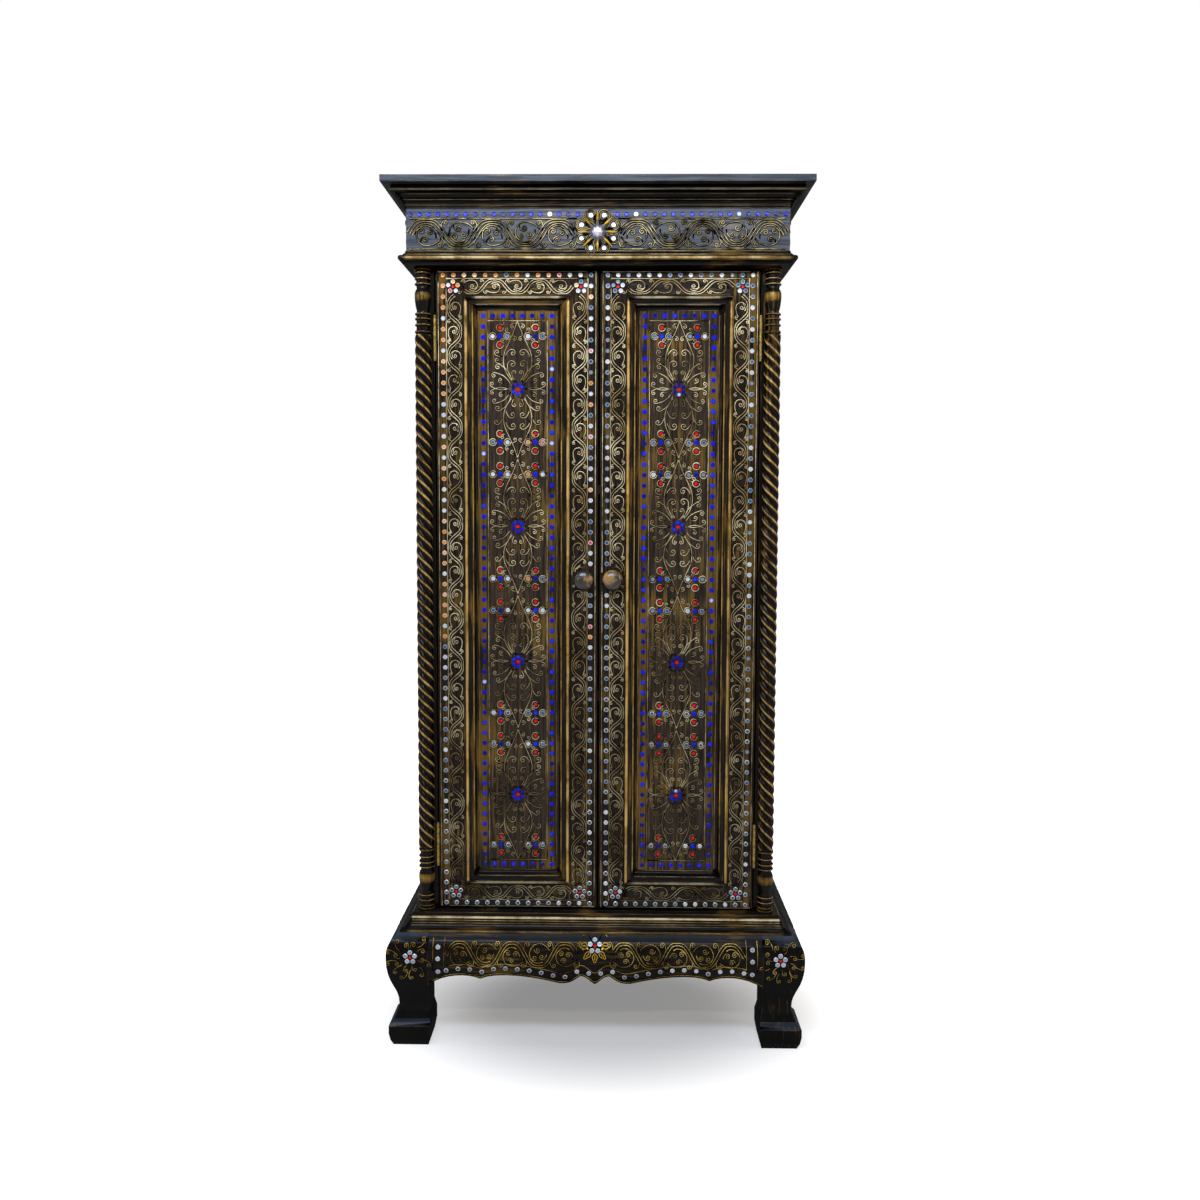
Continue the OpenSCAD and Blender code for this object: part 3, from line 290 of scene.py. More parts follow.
def mark_worn(bm, full_r=4*MM, front_only=False, fade=2):
    """Gives each point how much rubbing reaches it: 1 where the surface bends outwards with the
    radius full_r or less and stands upright, less where it looks up or down, by the power fade,
    and 0 on the edge of a broad face"""
    layer = bm.verts.layers.float.new("worn")
    bm.normal_update()
    broad = {f for f in bm.faces if f.calc_area() > narrow*max(e.calc_length() for e in f.edges)}
    for v in bm.verts:
        bends = sorted((2*(v.co - e.other_vert(v).co).dot(v.normal)/max(e.calc_length(), least_l)**2
            for e in v.link_edges), reverse=True)
        if len(bends) > 1 and broad.isdisjoint(v.link_faces):
            facing = max(-v.normal.y, 0) if front_only else hypot(v.normal.x, v.normal.y)
            v[layer] = min(max(bends[1]*full_r, 0), 1)*facing**fade


def show(bm, name, material, body, smooth_angle=50, weighted=False):
    """Turns a bmesh into a piece of the cabinet that rides on a body"""
    mesh = bpy.data.meshes.new(name)
    bm.to_mesh(mesh)
    bm.free()
    mesh.shade_smooth()
    mesh.set_sharp_from_angle(angle=radians(smooth_angle))
    mesh.materials.append(material)
    piece = bpy.data.objects.new(name, mesh)
    bpy.context.scene.collection.objects.link(piece)
    if weighted:
        piece.modifiers.new("even_faces", "WEIGHTED_NORMAL").keep_sharp = True
    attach(piece, body)
    return piece


weld = 0.01*MM
shortest_corner = 6*MM
sharp = radians(30)
waves_per_m = 22
foot_h, back_depth = 1*MM, 3*MM
# Without a seed, Blender's noise would start from the clock
noise.seed_set(7)


def softened(node, soft=0.9*MM, slices=(), uneven=0.0, front_only=False, full_r=4*MM, fade=2):
    """A copy of a node's wood with its corners worn round, cut into slices and made uneven, but
    for its foot and its back"""
    bm = bmesh.new()
    bm.from_mesh(nodes[node].data)
    bmesh.ops.remove_doubles(bm, verts=bm.verts, dist=weld)
    bmesh.ops.dissolve_limit(bm, angle_limit=radians(0.6), verts=bm.verts, edges=bm.edges)
    bm.normal_update()
    corners = [e for e in bm.edges if len(e.link_faces) == 2 and e.is_convex
        and e.calc_length() > shortest_corner and e.calc_face_angle(0) > sharp]
    bmesh.ops.bevel(bm, geom=corners, offset=soft, offset_type="OFFSET", segments=2, profile=0.5,
        affect="EDGES", clamp_overlap=True, material=-1, loop_slide=True)
    low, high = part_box(node)
    for axis, step in slices:
        cut_slices(bm, axis, step, low, high)
    if uneven:
        for v in bm.verts:
            if low.z + foot_h < v.co.z and v.co.y < high.y - back_depth:
                v.co += noise.noise_vector(v.co*waves_per_m)*uneven
    mark_worn(bm, full_r, front_only=front_only, fade=fade)
    return bm


def body_of(node):
    """The body that a node belongs to"""
    return next(b for b, members in record["behaviour"]["bodies"].items() if node in members)


# The middle of the cabinet, which the inner faces look at
inside = sum(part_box("carcass_top"), Vector())/2


def finish_wood(node, material, inner=None, **shape):
    """Replaces a node's plain wood by its softened copy. The faces that look into the cabinet can
    have a lacquer of their own"""
    bm = softened(node, **shape)
    piece = show(bm, node + "_finished", material, body_of(node), weighted=True)
    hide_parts(node)
    if inner:
        piece.data.materials.append(inner)
        for face in piece.data.polygons:
            inwards = (inside - face.center).xy.normalized()
            face.material_index = int(face.normal.xy.dot(inwards) > 0.5)
    return piece


for leg in ("leg_front_left", "leg_front_right", "leg_rear_left", "leg_rear_right"):
    finish_wood(leg, leg_lacquer, soft=2.2*MM, slices=[(2, 12*MM)])
for apron in ("front_apron", "side_aprons"):
    finish_wood(apron, stand_across, soft=1.5*MM, slices=[(0, 20*MM), (1, 20*MM)], uneven=0.2*MM)


# The body: frame and panel sides between posts, closed by boards, with a moulding where it
# sits on the stand. The show wood is lacquered, the rest is stained and left plain.
mouldings = {"waist_moulding": gilt_bead, "neck_moulding": gilt_bead, "cornice_moulding": black_across}
for node, lacquer in mouldings.items():
    finish_wood(node, lacquer, soft=0.7*MM, slices=[(0, 24*MM), (1, 24*MM)], uneven=0.35*MM)
finish_wood("frieze_boards", grey_frieze_painted_sheen, soft=1.0*MM)
finish_wood("side_rails", black_across, soft=1.0*MM)
finish_wood("top_board", grey_blue_top, soft=1.2*MM, fade=0.5)
for node in ("front_post_left", "front_post_right", "rear_posts"):
    finish_wood(node, black_up, soft=0.8*MM)
finish_wood("side_panels", side_lacquer, black_up, soft=0.5*MM)


def stained_wood(name, grain):
    """Softwood with a thin brown stain and no polish: the grain shows as darker lines"""
    made, add, place = new_material(name)
    stretch = {"up": (1, 1, 0.05), "across": (0.05, 1, 1)}[grain]
    laid = add("Mapping", {"Vector": place, "Scale": stretch})
    rings = add("TexNoise", {"Vector": laid, "Scale": 60.0, "Detail": 6.0, "Roughness": 0.6})
    pores = add("TexNoise", {"Vector": laid, "Scale": 400.0, "Detail": 3.0})
    lines = add("MapRange", [rings, 0.35, 0.65])
    skin = add("Mix", {0: lines, 6: "#3d2717", 7: "#6a4629"}, data_type="RGBA")
    bump = add("Bump", {"Height": pores, "Strength": 0.3, "Distance": 0.0004})
    add("OutputMaterial", [add("BsdfPrincipled",
        {"Base Color": skin, "Roughness": 0.62, "Normal": bump})])
    return made


def coat(material, *names):
    """Gives nodes of the frame a material"""
    for name in names:
        nodes[name].data.materials[0] = material


coat(stained_wood("stained_wood_across", "across"), "stand_rear_rail", "stand_frame", "upper_shelf",
    "lower_shelf", "shelf_cleats")
coat(stained_wood("stained_wood_upright", "up"), "back_panel")
for node in ("bottom_board", "carcass_top"):
    finish_wood(node, black_across, soft=0.8*MM)


# The corner columns are turned, with a four-strand rope carved between the turned ends. The
# gold is rubbed on the crests of the strands. Each column fits over the corner of its post.
post_low, post_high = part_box("front_post_right")
column_low, column_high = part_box("right_column")
column_r = (column_high.x - column_low.x)/2
rim_r, ring_crest_r, rope_r = column_r - 0.2*MM, column_r - 0.4*MM, column_r - 0.15*MM
neck_r = column_r*0.78
turning_h = 118*MM
rope_lead = 80*MM
rope_strands = 4
rope_depth = 3.2*MM
strand_points = 8
strand_power = 2.2
into_turning = 1*MM
slices_per_turn = 36
# Rings of the turned end, as (share of its height, width), under the vase and over it
low_rings = [(0.07, 6*MM), (0.155, 4*MM), (0.235, 4*MM)]
high_rings = [(0.68, 3.6*MM), (0.755, 4*MM), (0.845, 4*MM), (0.95, 6.5*MM)]
# Outline of the vase, upwards, as (share of its height, share of the column's radius)
vase = [(0, 0.72), (0.08, 0.8), (0.25, 0.88), (0.45, 0.95), (0.65, 0.985), (0.8, 0.96), (0.92, 0.86),
    (1, 0.72)]
vase_from, vase_h = 0.3, 0.33
# The vase's gold starts at this share of the column's radius, and grows outwards
vase_gold_from, vase_gold_grows, vase_gold_most = 0.86, 5, 0.65


def turned_end(bm, z, way):
    """Rings, an upright vase, and more rings, from the end inwards"""
    line = [(0, 0), (rim_r, 0), (rim_r, 3*MM), (neck_r, 4*MM)]

    def add_rings(places):
        """Rings given by their share of the height, and their width"""
        for f, h in places:
            at, swell = f*turning_h, ring_crest_r - neck_r
            line.extend([(neck_r, at - h/2), (neck_r + swell*0.8, at - h*0.35), (neck_r + swell, at),
                (neck_r + swell*0.8, at + h*0.35), (neck_r, at + h/2)])

    add_rings(low_rings)
    for t, r in vase[::way]:
        line.append((column_r*r, (vase_from + vase_h*(t if way == 1 else 1 - t))*turning_h))
    add_rings(high_rings)
    line.extend([(neck_r, turning_h), (0, turning_h)])
    points = [bm.verts.new((r, 0, z + way*h)) for r, h in line]
    edges = [bm.edges.new(pair) for pair in zip(points, points[1:])]
    bmesh.ops.spin(bm, geom=points + edges, cent=(0, 0, 0), axis=(0, 0, 1), angle=2*pi, steps=28,
        use_merge=True, use_duplicate=False)
    bmesh.ops.remove_doubles(bm, verts=bm.verts, dist=weld)


def column(side, name, node):
    """One column: a turned end at each end, and a twisted rope swept up between in small steps"""
    bm = bmesh.new()
    turned_end(bm, post_low.z, 1)
    turned_end(bm, post_high.z, -1)
    bmesh.ops.recalc_face_normals(bm, faces=bm.faces)
    mark_worn(bm, 3*MM)
    turned = set(bm.verts)
    worn = bm.verts.layers.float["worn"]
    for v in turned:
        along = min(v.co.z - post_low.z, post_high.z - v.co.z)/turning_h
        r = hypot(v.co.x, v.co.y)
        if vase_from < along < vase_from + vase_h:
            v[worn] = min(max((r/column_r - vase_gold_from)*vase_gold_grows, 0), vase_gold_most)
        elif r < column_r - 0.5*MM:
            v[worn] = 0
    around = rope_strands*strand_points
    rope_low = post_low.z + turning_h - into_turning
    ring = []
    for k in range(around):
        strand = abs(2*(k % strand_points)/strand_points - 1)
        r = rope_r - rope_depth*strand**strand_power
        ring.append(bm.verts.new((r*cos(2*pi*k/around), r*sin(2*pi*k/around), rope_low)))
    edges = [bm.edges.new((ring[k - 1], ring[k])) for k in range(around)]
    rope_l = post_high.z - post_low.z - 2*turning_h + 2*into_turning
    steps = ceil(rope_l/rope_lead*slices_per_turn)
    bottom = bmesh.ops.contextual_create(bm, geom=edges)["faces"]
    bmesh.ops.spin(bm, geom=bottom, cent=(0, 0, 0), axis=(0, 0, 1), dvec=(0, 0, rope_l/steps),
        angle=-2*pi*rope_l/rope_lead, steps=steps, use_duplicate=False)
    # The spin leaves a face across the rope at each step, and only the two ends are kept
    cross = [f for f in bm.faces if len(f.verts) == around]
    cross.sort(key=lambda f: f.calc_center_median().z)
    bmesh.ops.delete(bm, geom=cross[1:-1], context="FACES_ONLY")
    bmesh.ops.recalc_face_normals(bm, faces=bm.faces)
    for v in set(bm.verts) - turned:
        twist = atan2(v.co.y, v.co.x)/(2*pi) + (v.co.z - rope_low)/rope_lead
        strand = abs(2*((twist*rope_strands) % 1) - 1)
        v[worn] = max(0, 1 - strand*2)
    bmesh.ops.translate(bm, verts=bm.verts, vec=(side*post_high.x, post_low.y, 0))
    piece = show(bm, name, gilt_rope, "cabinet", smooth_angle=60)
    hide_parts(node)


# Its pale value sets a faint painted highlight on the crests of the strands
gilt_rope = rubbed_lacquer("gold_rubbed_lacquer_rope", "up", 0.15, "#070504", "#16100a", 1.0, "#c4953c",
    undercoat=0.25, wax=0.14, pale=0.2)
column(1, "right_column_rope", "right_column")
column(-1, "left_column_rope", "left_column")


# Glass inlay: small rounds cut from thin silvered, blue and red glass, set into the lacquer.
# Each stands a little proud, has a bevelled edge, and its own tint.
# The pieces face away from an upright line this far behind the origin
middle_y = 0.02


def islands(node):
    """Centre, outward direction, radius and height of each round piece in a node of glass"""
    bm = bmesh.new()
    bm.from_mesh(nodes[node].data)
    bmesh.ops.remove_doubles(bm, verts=bm.verts, dist=weld)
    seen, found = set(), []
    for start in bm.faces:
        if start in seen:
            continue
        seen.add(start)
        faces = [start]
        for face in faces:
            for e in face.edges:
                for f in e.link_faces:
                    if f not in seen:
                        seen.add(f)
                        faces.append(f)
        points = list(dict.fromkeys(v for f in faces for v in f.verts))
        centre = sum((v.co for v in points), Vector())/len(points)
        ways = {}
        for f in faces:
            key = tuple(round(c, 2) for c in f.normal)
            ways[key] = ways.get(key, 0) + f.calc_area()
        out = max((k for k in ways if Vector(k).dot((centre.x, centre.y - middle_y, 0)) > 0),
            key=ways.get)
        out = Vector(out).normalized()
        r = max((v.co - centre - out*(v.co - centre).dot(out)).length for v in points)
        h = max((v.co - centre).dot(out) for v in points)
        found.append((centre - out*h, out, r, 2*h))
    bm.free()
    return sorted(found, key=lambda s: (round(s[0].z, 4), round(s[0].x, 4), round(s[0].y, 4)))


def glass_round(name, points, rings, notch=1):
    """One piece of glass as rings of (share of the radius, share of the height), lying at the
    origin and facing up, one unit in radius and height. A notch draws in every other point"""
    bm = bmesh.new()
    bm.verts.layers.float_color.new("tint")
    bmesh.ops.create_circle(bm, cap_ends=True, segments=points, radius=1)
    face = next(iter(bm.faces))
    for r, h in rings:
        grown = bmesh.ops.extrude_face_region(bm, geom=[face])["geom"]
        if h > rings[0][1]:
            bm.faces.remove(face)
        face = next(g for g in grown if isinstance(g, bmesh.types.BMFace))
        for v in face.verts:
            v.co = Vector((v.co.x, v.co.y, 0)).normalized()*r + Vector((0, 0, h))
    bmesh.ops.poke(bm, faces=[face])
    for v in bm.verts:
        if round(atan2(v.co.y, v.co.x)*points/(2*pi)) % 2:
            v.co *= Vector((notch, notch, 1))
    bmesh.ops.recalc_face_normals(bm, faces=bm.faces)
    mesh = bpy.data.meshes.new(name)
    bm.to_mesh(mesh)
    bm.free()
    return mesh


flat_round = glass_round("flat_round", 12, [(1, 0.62), (0.86, 1), (0.55, 0.95)])
cut_stone = glass_round("cut_stone", 16, [(1, 0.25), (0.66, 0.95), (0.3, 1.1)], 0.78)
stone_least_r = 8*MM
edge_from = 0.7
glass_rise = 0.9


def inlay(node, material, tints_of):
    """Replaces a node of glass by cut rounds: tints_of gives each one's colours, in its middle
    and round its edge, by its place. The middle's tint, where it differs from the edge's, is a
    painted reflection"""
    bm = bmesh.new()
    for centre, out, r, h in islands(node):
        model = cut_stone if r > stone_least_r else flat_round
        bm.from_mesh(model)
        bm.verts.ensure_lookup_table()
        tint = bm.verts.layers.float_color["tint"]
        fresh = bm.verts[-len(model.vertices):]
        middle, edge = tints_of(centre)
        for v in fresh:
            if model is cut_stone:
                v[tint] = colour(chance.choice(stone_tints))
            else:
                v[tint] = colour(edge if hypot(v.co.x, v.co.y) > edge_from else middle)
        turn = Vector((0, 0, 1)).rotation_difference(out).to_matrix().to_4x4()
        place = Matrix.Translation(centre) @ turn @ Matrix.Diagonal((r, r, h*glass_rise, 1))
        bmesh.ops.transform(bm, matrix=place, verts=fresh)
    piece = show(bm, node + "_rounds", material, body_of(node), smooth_angle=30)
    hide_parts(node)


def cut_glass(name, metal, rough):
    """Thin glass with old silvering behind it: a soft mirror in its own tint, a little clouded"""
    made, add, place = new_material(name)
    tint = add("Attribute", out="Color", attribute_name="tint")
    cloud = add("TexNoise", {"Vector": place, "Scale": 700.0, "Detail": 2.0})
    cloud = add("MapRange", [cloud, 0.45, 0.75, 0, 0.3])
    skin = add("Mix", {0: cloud, 6: tint, 7: "#26262a"}, data_type="RGBA")
    add("OutputMaterial", [add("BsdfPrincipled",
        {"Base Color": skin, "Metallic": metal, "Roughness": rough, "Specular IOR Level": 0.08,
        "Coat Weight": 0.1, "Coat Roughness": 0.08})])
    return made


silver_glass = cut_glass("silvered_glass", 0.2, 0.2)
blue_glass = cut_glass("blue_silvered_glass", 0.02, 0.16)
red_glass = cut_glass("red_silvered_glass", 0.02, 0.2)
chance = Random(7)
stone_tints = ("#d8dade", "#c8ccd4", "#dcdcde", "#cf6470", "#e0b4b8", "#a4aab4")

# Tints of the clear glass, in the middle and round the edge of a piece: the middle, where it
# differs from the edge, is a painted reflection
peach = (("#cf8345", "#e9bd94"), ("#c27838", "#dfa878"), ("#dca070", "#ecd0b4"))
pink = (("#c2505c", "#e6c2c2"), ("#d88890", "#e8dcdc"))
white = (("#d0d3d6", "#b4babf"), ("#c6cace", "#d4d6d6"), ("#b4bcc4", "#cccfd2"))
cool = (("#3a4a64", "#8ea2b8"), ("#52647a", "#a0b0bd"), ("#7f8a94", "#5a6672"), ("#3c5268", "#8aa2b4"))
petals = (("#8c98a2", "#ccd2d6"), ("#aab2b8", "#d4d8da"))
ringed = (("#4a525a", "#c0c6ca"), ("#5c646c", "#a9b0b6"), ("#404852", "#ccd1d4"))

# Where the tints change, in metres up from the floor and out from the middle
head_from, stand_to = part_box("neck_moulding")[0].z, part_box("front_apron")[1].z
high_from, low_to, top_row = 0.74, 0.45, 1.37
outer, inner_to, flower_half = 0.27, 0.17, 0.04


def clear_tint(centre):
    """White on the head, peach high on the left door, cool on the right, grey with a dark eye
    lower down, and pale grey in the petals of the stand. The dark eye, and any middle unlike its edge,
    is a painted reflection"""
    luck = chance.random()
    high = centre.z > high_from
    if centre.z > head_from:
        kind = white
    elif centre.z < stand_to:
        petal = abs(centre.x) > outer or abs(centre.x) < flower_half
        kind = petals if petal else ringed if luck < 0.8 else white
    elif high and (centre.x < -outer or centre.z > top_row and centre.x < -inner_to):
        kind = peach if luck < 0.72 else white
    elif high and centre.x < 0:
        kind = peach if luck < 0.22 else pink if luck < 0.32 else cool if luck < 0.66 else white
    elif high:
        kind = cool if luck < 0.7 else white
    elif centre.z > low_to:
        kind = cool if luck < 0.42 else ringed if luck < 0.85 else white
    else:
        kind = ringed if luck < 0.8 else white
    return chance.choice(kind)


def blue_tint(centre):
    """Cobalt, with one piece in thirty gone white, and deeper on the head"""
    if chance.random() < 0.03:
        return "#c8ccdc", "#6a78e0"
    if centre.z > head_from:
        return chance.choice((("#02054c", "#060c90"), ("#050c9c", "#081098"), ("#0c1cac", "#060c80")))
    return chance.choice((("#04066c", "#0c14b4"), ("#0a12cc", "#0e18dc"), ("#03044c", "#0a0e9c"),
        ("#1a34ec", "#0e16c4"), ("#0810b4", "#0c14c8")))


def red_tint(centre):
    """Scarlet, a little brighter in the middle"""
    return chance.choice((("#e81018", "#b80c12"), ("#d80e16", "#c8141a")))


for kind, glass, tints_of, third in (("clear_glass", silver_glass, clear_tint, "cabinet"),
        ("blue_glass", blue_glass, blue_tint, "frieze"), ("red_glass", red_glass, red_tint, "cabinet")):
    for part in ("left", "right", third):
        inlay(f"{part}_{kind}", glass, tints_of)


# The doors: stiles, rails and a sunk panel, with a mitred moulding planted round it, all
# blackened and rubbed with gold, most of all on the moulding's beads.
# pale sets how strong the painted highlight on the moulding's beads is
gilt_up = rubbed_lacquer("gold_rubbed_moulding_upright", "up", 0.45, "#0b0907", "#231b13", 1.0, "#c4953c",
    wax=0.14, pale=0.2)
gilt_across = rubbed_lacquer("gold_rubbed_moulding_across", "across", 0.12, "#090807", "#1b1611", 0.6,
    "#94845a", wax=0.14, pale=0.5)
for door in ("left", "right"):
    for part in ("hinge_stile", "meeting_stile"):
        finish_wood(f"{door}_{part}", frame_up, black_up, front_only=True)
    for part in ("top_rail", "bottom_rail"):
        finish_wood(f"{door}_{part}", frame_across, black_across, front_only=True)
    finish_wood(f"{door}_panel", bronze_up, black_up, soft=0.3*MM, front_only=True)
    moulding = finish_wood(f"{door}_panel_moulding", gilt_up, soft=0.5*MM, slices=[(0, 24*MM), (2, 24*MM)],
        uneven=0.3*MM, front_only=True, full_r=7*MM)
    moulding.data.materials.append(gilt_across)
    low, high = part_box(f"{door}_panel_moulding")
    middle, half = (low + high)/2, (high - low)/2
    for face in moulding.data.polygons:
        off = face.center - middle
        face.material_index = int(half.z - abs(off.z) < half.x - abs(off.x))


# Knobs turned from a close-grained wood. Their black lacquer has been worn through by hands,
# more on the right one, to a polished golden brown.
def handled_lacquer(name, bared):
    """Black lacquer worn to the wood: a smooth gloss that drifts from black to honey brown"""
    made, add, place = new_material(name)
    drift = add("TexNoise", {"Vector": place, "Scale": 42.0, "Detail": 4.0, "Roughness": 0.6})
    grain = add("TexNoise", {"Vector": place, "Scale": 380.0, "Detail": 3.0})
    worn = add("MapRange", [drift, 0.58 - 0.22*bared, 0.7 - 0.16*bared])
    wood = add("Mix", {0: grain, 6: "#694a25", 7: "#b78d50"}, data_type="RGBA")
    skin = add("Mix", {0: worn, 6: "#17130f", 7: wood}, data_type="RGBA")
    bump = add("Bump", {"Height": grain, "Strength": 0.2, "Distance": 0.0003})
    add("OutputMaterial", [add("BsdfPrincipled",
        {"Base Color": skin, "Roughness": 0.24, "Specular IOR Level": 0.45, "Normal": bump})])
    return made


coat(handled_lacquer("handled_lacquer_dark", 0.25), "left_knob")
coat(handled_lacquer("handled_lacquer_worn", 0.95), "right_knob")


# Hinges and their screws are brass, dulled with age. The catches are brown moulded plastic
# that hold small zinc-plated plates on the doors.
def old_metal(name, low, high, rough):
    """Cast or pressed metal gone dull: patches of tarnish over a soft shine"""
    made, add, place = new_material(name)
    patches = add("TexNoise", {"Vector": place, "Scale": 130.0, "Detail": 5.0, "Roughness": 0.6})
    spread = add("MapRange", [patches, 0.35, 0.65])
    skin = add("Mix", {0: spread, 6: low, 7: high}, data_type="RGBA")
    dull = add("MapRange", [patches, 0.3, 0.7, rough + 0.12, rough - 0.05])
    bump = add("Bump", {"Height": patches, "Strength": 0.15, "Distance": 0.0003})
    add("OutputMaterial", [add("BsdfPrincipled",
        {"Base Color": skin, "Metallic": 1.0, "Roughness": dull, "Normal": bump})])
    return made


def moulded_plastic(name, code):
    """Plastic moulded in a spark-eroded tool: one colour, with a fine even texture"""
    made, add, place = new_material(name)
    pits = add("TexNoise", {"Vector": place, "Scale": 2200.0, "Detail": 2.0})
    rough = add("MapRange", [pits, 0, 1, 0.42, 0.62])
    bump = add("Bump", {"Height": pits, "Strength": 0.25, "Distance": 0.0001})
    add("OutputMaterial", [add("BsdfPrincipled",
        {"Base Color": code, "Roughness": rough, "Normal": bump})])
    return made


coat(old_metal("old_brass", "#54421e", "#8a7440", 0.34), "frame_hinge_leaves", "hinge_pins",
    "frame_hinge_screws", "left_hinge_leaves", "left_hinge_screws", "right_hinge_leaves",
    "right_hinge_screws")
coat(old_metal("zinc_plated_steel", "#8c8f92", "#b4b6b8", 0.3), "left_strike_plate",
    "right_strike_plate")
coat(moulded_plastic("brown_abs", "#3a2718"), "magnetic_catches")


# Scrollwork: threads of lacquer putty, rolled thin, laid on the wood in curls and stems, then
# blackened and rubbed with gold so that their tops shine. Threads are drawn flat as complex
# numbers in millimetres, and then laid onto the surface that carries them.
thread_r = 1.3
thread_flat, thread_lift = 0.7, 0.3
start_r, drop_end_r = 0.8, 1.25
short_path = 5
spiral_step = radians(24)
straight_step = 12
ring_points = 14


def bezier(a, b, c, d, n):
    """A curve from a to d, which leaves towards b and arrives from c, in n steps"""
    return [a*(1 - t)**3 + 3*b*t*(1 - t)**2 + 3*c*t*t*(1 - t) + d*t**3
        for t in (i/n for i in range(n + 1))]


def swirl(start, centre, r, hand, turns=1.2, eye=0.2):
    """A stem that runs from start onto a circle and winds in until its radius is the share eye
    of r: hand 1 is anticlockwise"""
    # The stem leaves a little outwards, and arrives along the circle
    gap = start - centre
    onto = phase(gap) + hand*(acos(min(r/abs(gap), 1)) + 0.45)
    meet = centre + rect(r, onto)
    stem = abs(meet - start)
    arriving = rect(stem*0.45, onto + hand*pi/2)
    path = bezier(start, start + (meet - start)*rect(0.42, -hand*0.4), meet - arriving, meet,
        max(3, ceil(stem/4)))
    steps = ceil(turns*2*pi/spiral_step)
    for i in range(1, steps + 1):
        t = i/steps
        path.append(centre + rect(r*eye**t, onto + hand*turns*2*pi*t))
    return path


def through(points, n=4):
    """A smooth path through a few points"""
    ends = [2*points[0] - points[1]] + list(points) + [2*points[-1] - points[-2]]
    path = [points[0]]
    for a, b, c, d in zip(ends, ends[1:], ends[2:], ends[3:]):
        path += bezier(b, b + (c - a)/6, c - (d - b)/6, c, n)[1:]
    return path


def both_ways(threads):
    """Threads and their mirror images left of the upright axis"""
    return threads + [[-p.conjugate() for p in path] for path in threads]


def moved(threads, origin, turn=1, flip=False):
    """Threads turned over if flip is set, then turned by the unit number turn, and moved"""
    return [[origin + turn*(p.conjugate() if flip else p) for p in path] for path in threads]


def straight(a, b):
    """A straight path in short steps"""
    n = max(1, round(abs(b - a)/straight_step))
    return [a + (b - a)*i/n for i in range(n + 1)]


def rectangle(low, high):
    """The four sides of an upright rectangle"""
    corners = [low, complex(high.real, low.imag), high, complex(low.real, high.imag), low]
    return [straight(a, b) for a, b in zip(corners, corners[1:])]


def circle(centre, r):
    """A closed ring"""
    return [centre + rect(r, 2*pi*k/ring_points) for k in range(ring_points + 1)]


def clear_of(threads, centre, room):
    """Threads with what lies within room of the centre left out"""
    kept = []
    for path in threads:
        run = []
        for p in path:
            if abs(p - centre) > room:
                run.append(p)
            else:
                kept.append(run)
                run = []
        kept.append(run)
    return [run for run in kept if len(run) > 1]


crest_spread = 0.6
roundness = 0.1
wave_points = 12
vine_swing = 0.42


def vine(length, height, bays, curls, spread, lines=3):
    """A wavy stem of several threads along a band, which draw together at each crest of the
    wave, with curls in each bay: curls are given as start, centre and radius in shares of the
    bay's length and the band's height, then hand, turns and eye"""
    bay = length/bays
    made = []
    for i in range(bays):
        side = 1 if i % 2 == 0 else -1
        for u0, v0, u1, v1, r, hand, turns, eye in curls:
            start, centre = (complex((i + u)*bay, side*v*height) for u, v in ((u0, v0), (u1, v1)))
            made.append(swirl(start, centre, r*height, hand*side, turns, eye))
    for k in range(lines):
        offset = (k - (lines - 1)/2)*spread
        points = []
        for i in range(bays*wave_points + 1):
            u = pi*i/wave_points
            rise = vine_swing*height*(sin(u) + roundness*sin(3*u))/(1 - roundness)
            lean = atan2(vine_swing*height*pi/bay*(cos(u) + 3*roundness*cos(3*u))/(1 - roundness), 1)
            fan = crest_spread + (1 - crest_spread)*abs(cos(u))
            points.append(complex(i/wave_points*bay, rise) + rect(offset*fan, lean + pi/2))
        made.append(points)
    return made


waver_mm, waver_per_mm = 0.5, 0.045


def unsteady(path):
    """The small waver of a line laid by hand"""
    out = []
    for p in path:
        shift = noise.noise_vector(Vector((p.real*waver_per_mm, p.imag*waver_per_mm, 3.7)))
        out.append(p + waver_mm*complex(shift.x, shift.y))
    return out


def lay_threads(threads, name, material, body, lay, r=thread_r, widths=None):
    """Rolls threads of putty along the paths and lays them on a surface: lay turns arrays of
    across, up and height, in metres, into points. Threads end in a small drop, or follow widths"""
    data = bpy.data.curves.new(name, "CURVE")
    data.dimensions = "3D"
    data.bevel_depth = r*MM
    data.bevel_resolution = 2
    data.use_fill_caps = True
    for path in threads:
        spline = data.splines.new("POLY")
        path = unsteady(path)
        spline.points.add(len(path) - 1)
        spline.points.foreach_set("co", [c for p in path for c in (p.real*MM, p.imag*MM, 0, 1)])
        thick = list(widths or [1.0]*len(path))
        if len(path) > short_path and not widths:
            thick[0] = thick[1] = start_r
            thick[-1] = drop_end_r
        spline.points.foreach_set("radius", thick)
    rolled = bpy.data.objects.new(name, data)
    bpy.context.scene.collection.objects.link(rolled)
    mesh = bpy.data.meshes.new_from_object(rolled)
    bpy.data.objects.remove(rolled)
    flat = np.empty(len(mesh.vertices)*3)
    mesh.vertices.foreach_get("co", flat)
    across, upward, height = flat.reshape(-1, 3).T
    crest = mesh.attributes.new("crest", "FLOAT", "POINT")
    crest.data.foreach_set("value", np.clip(height/(r*MM)*0.5 + 0.5, 0, 1))
    points = lay(across, upward, height*thread_flat + r*MM*thread_lift)
    mesh.vertices.foreach_set("co", np.stack(points, 1).ravel())
    bm = bmesh.new()
    bm.from_mesh(mesh)
    bmesh.ops.recalc_face_normals(bm, faces=bm.faces)
    bpy.data.meshes.remove(mesh)
    show(bm, name, material, body, smooth_angle=70)


def front_at(y):
    """Lays threads on an upright face that looks forwards"""
    return lambda across, upward, height: (across, y - height, upward)


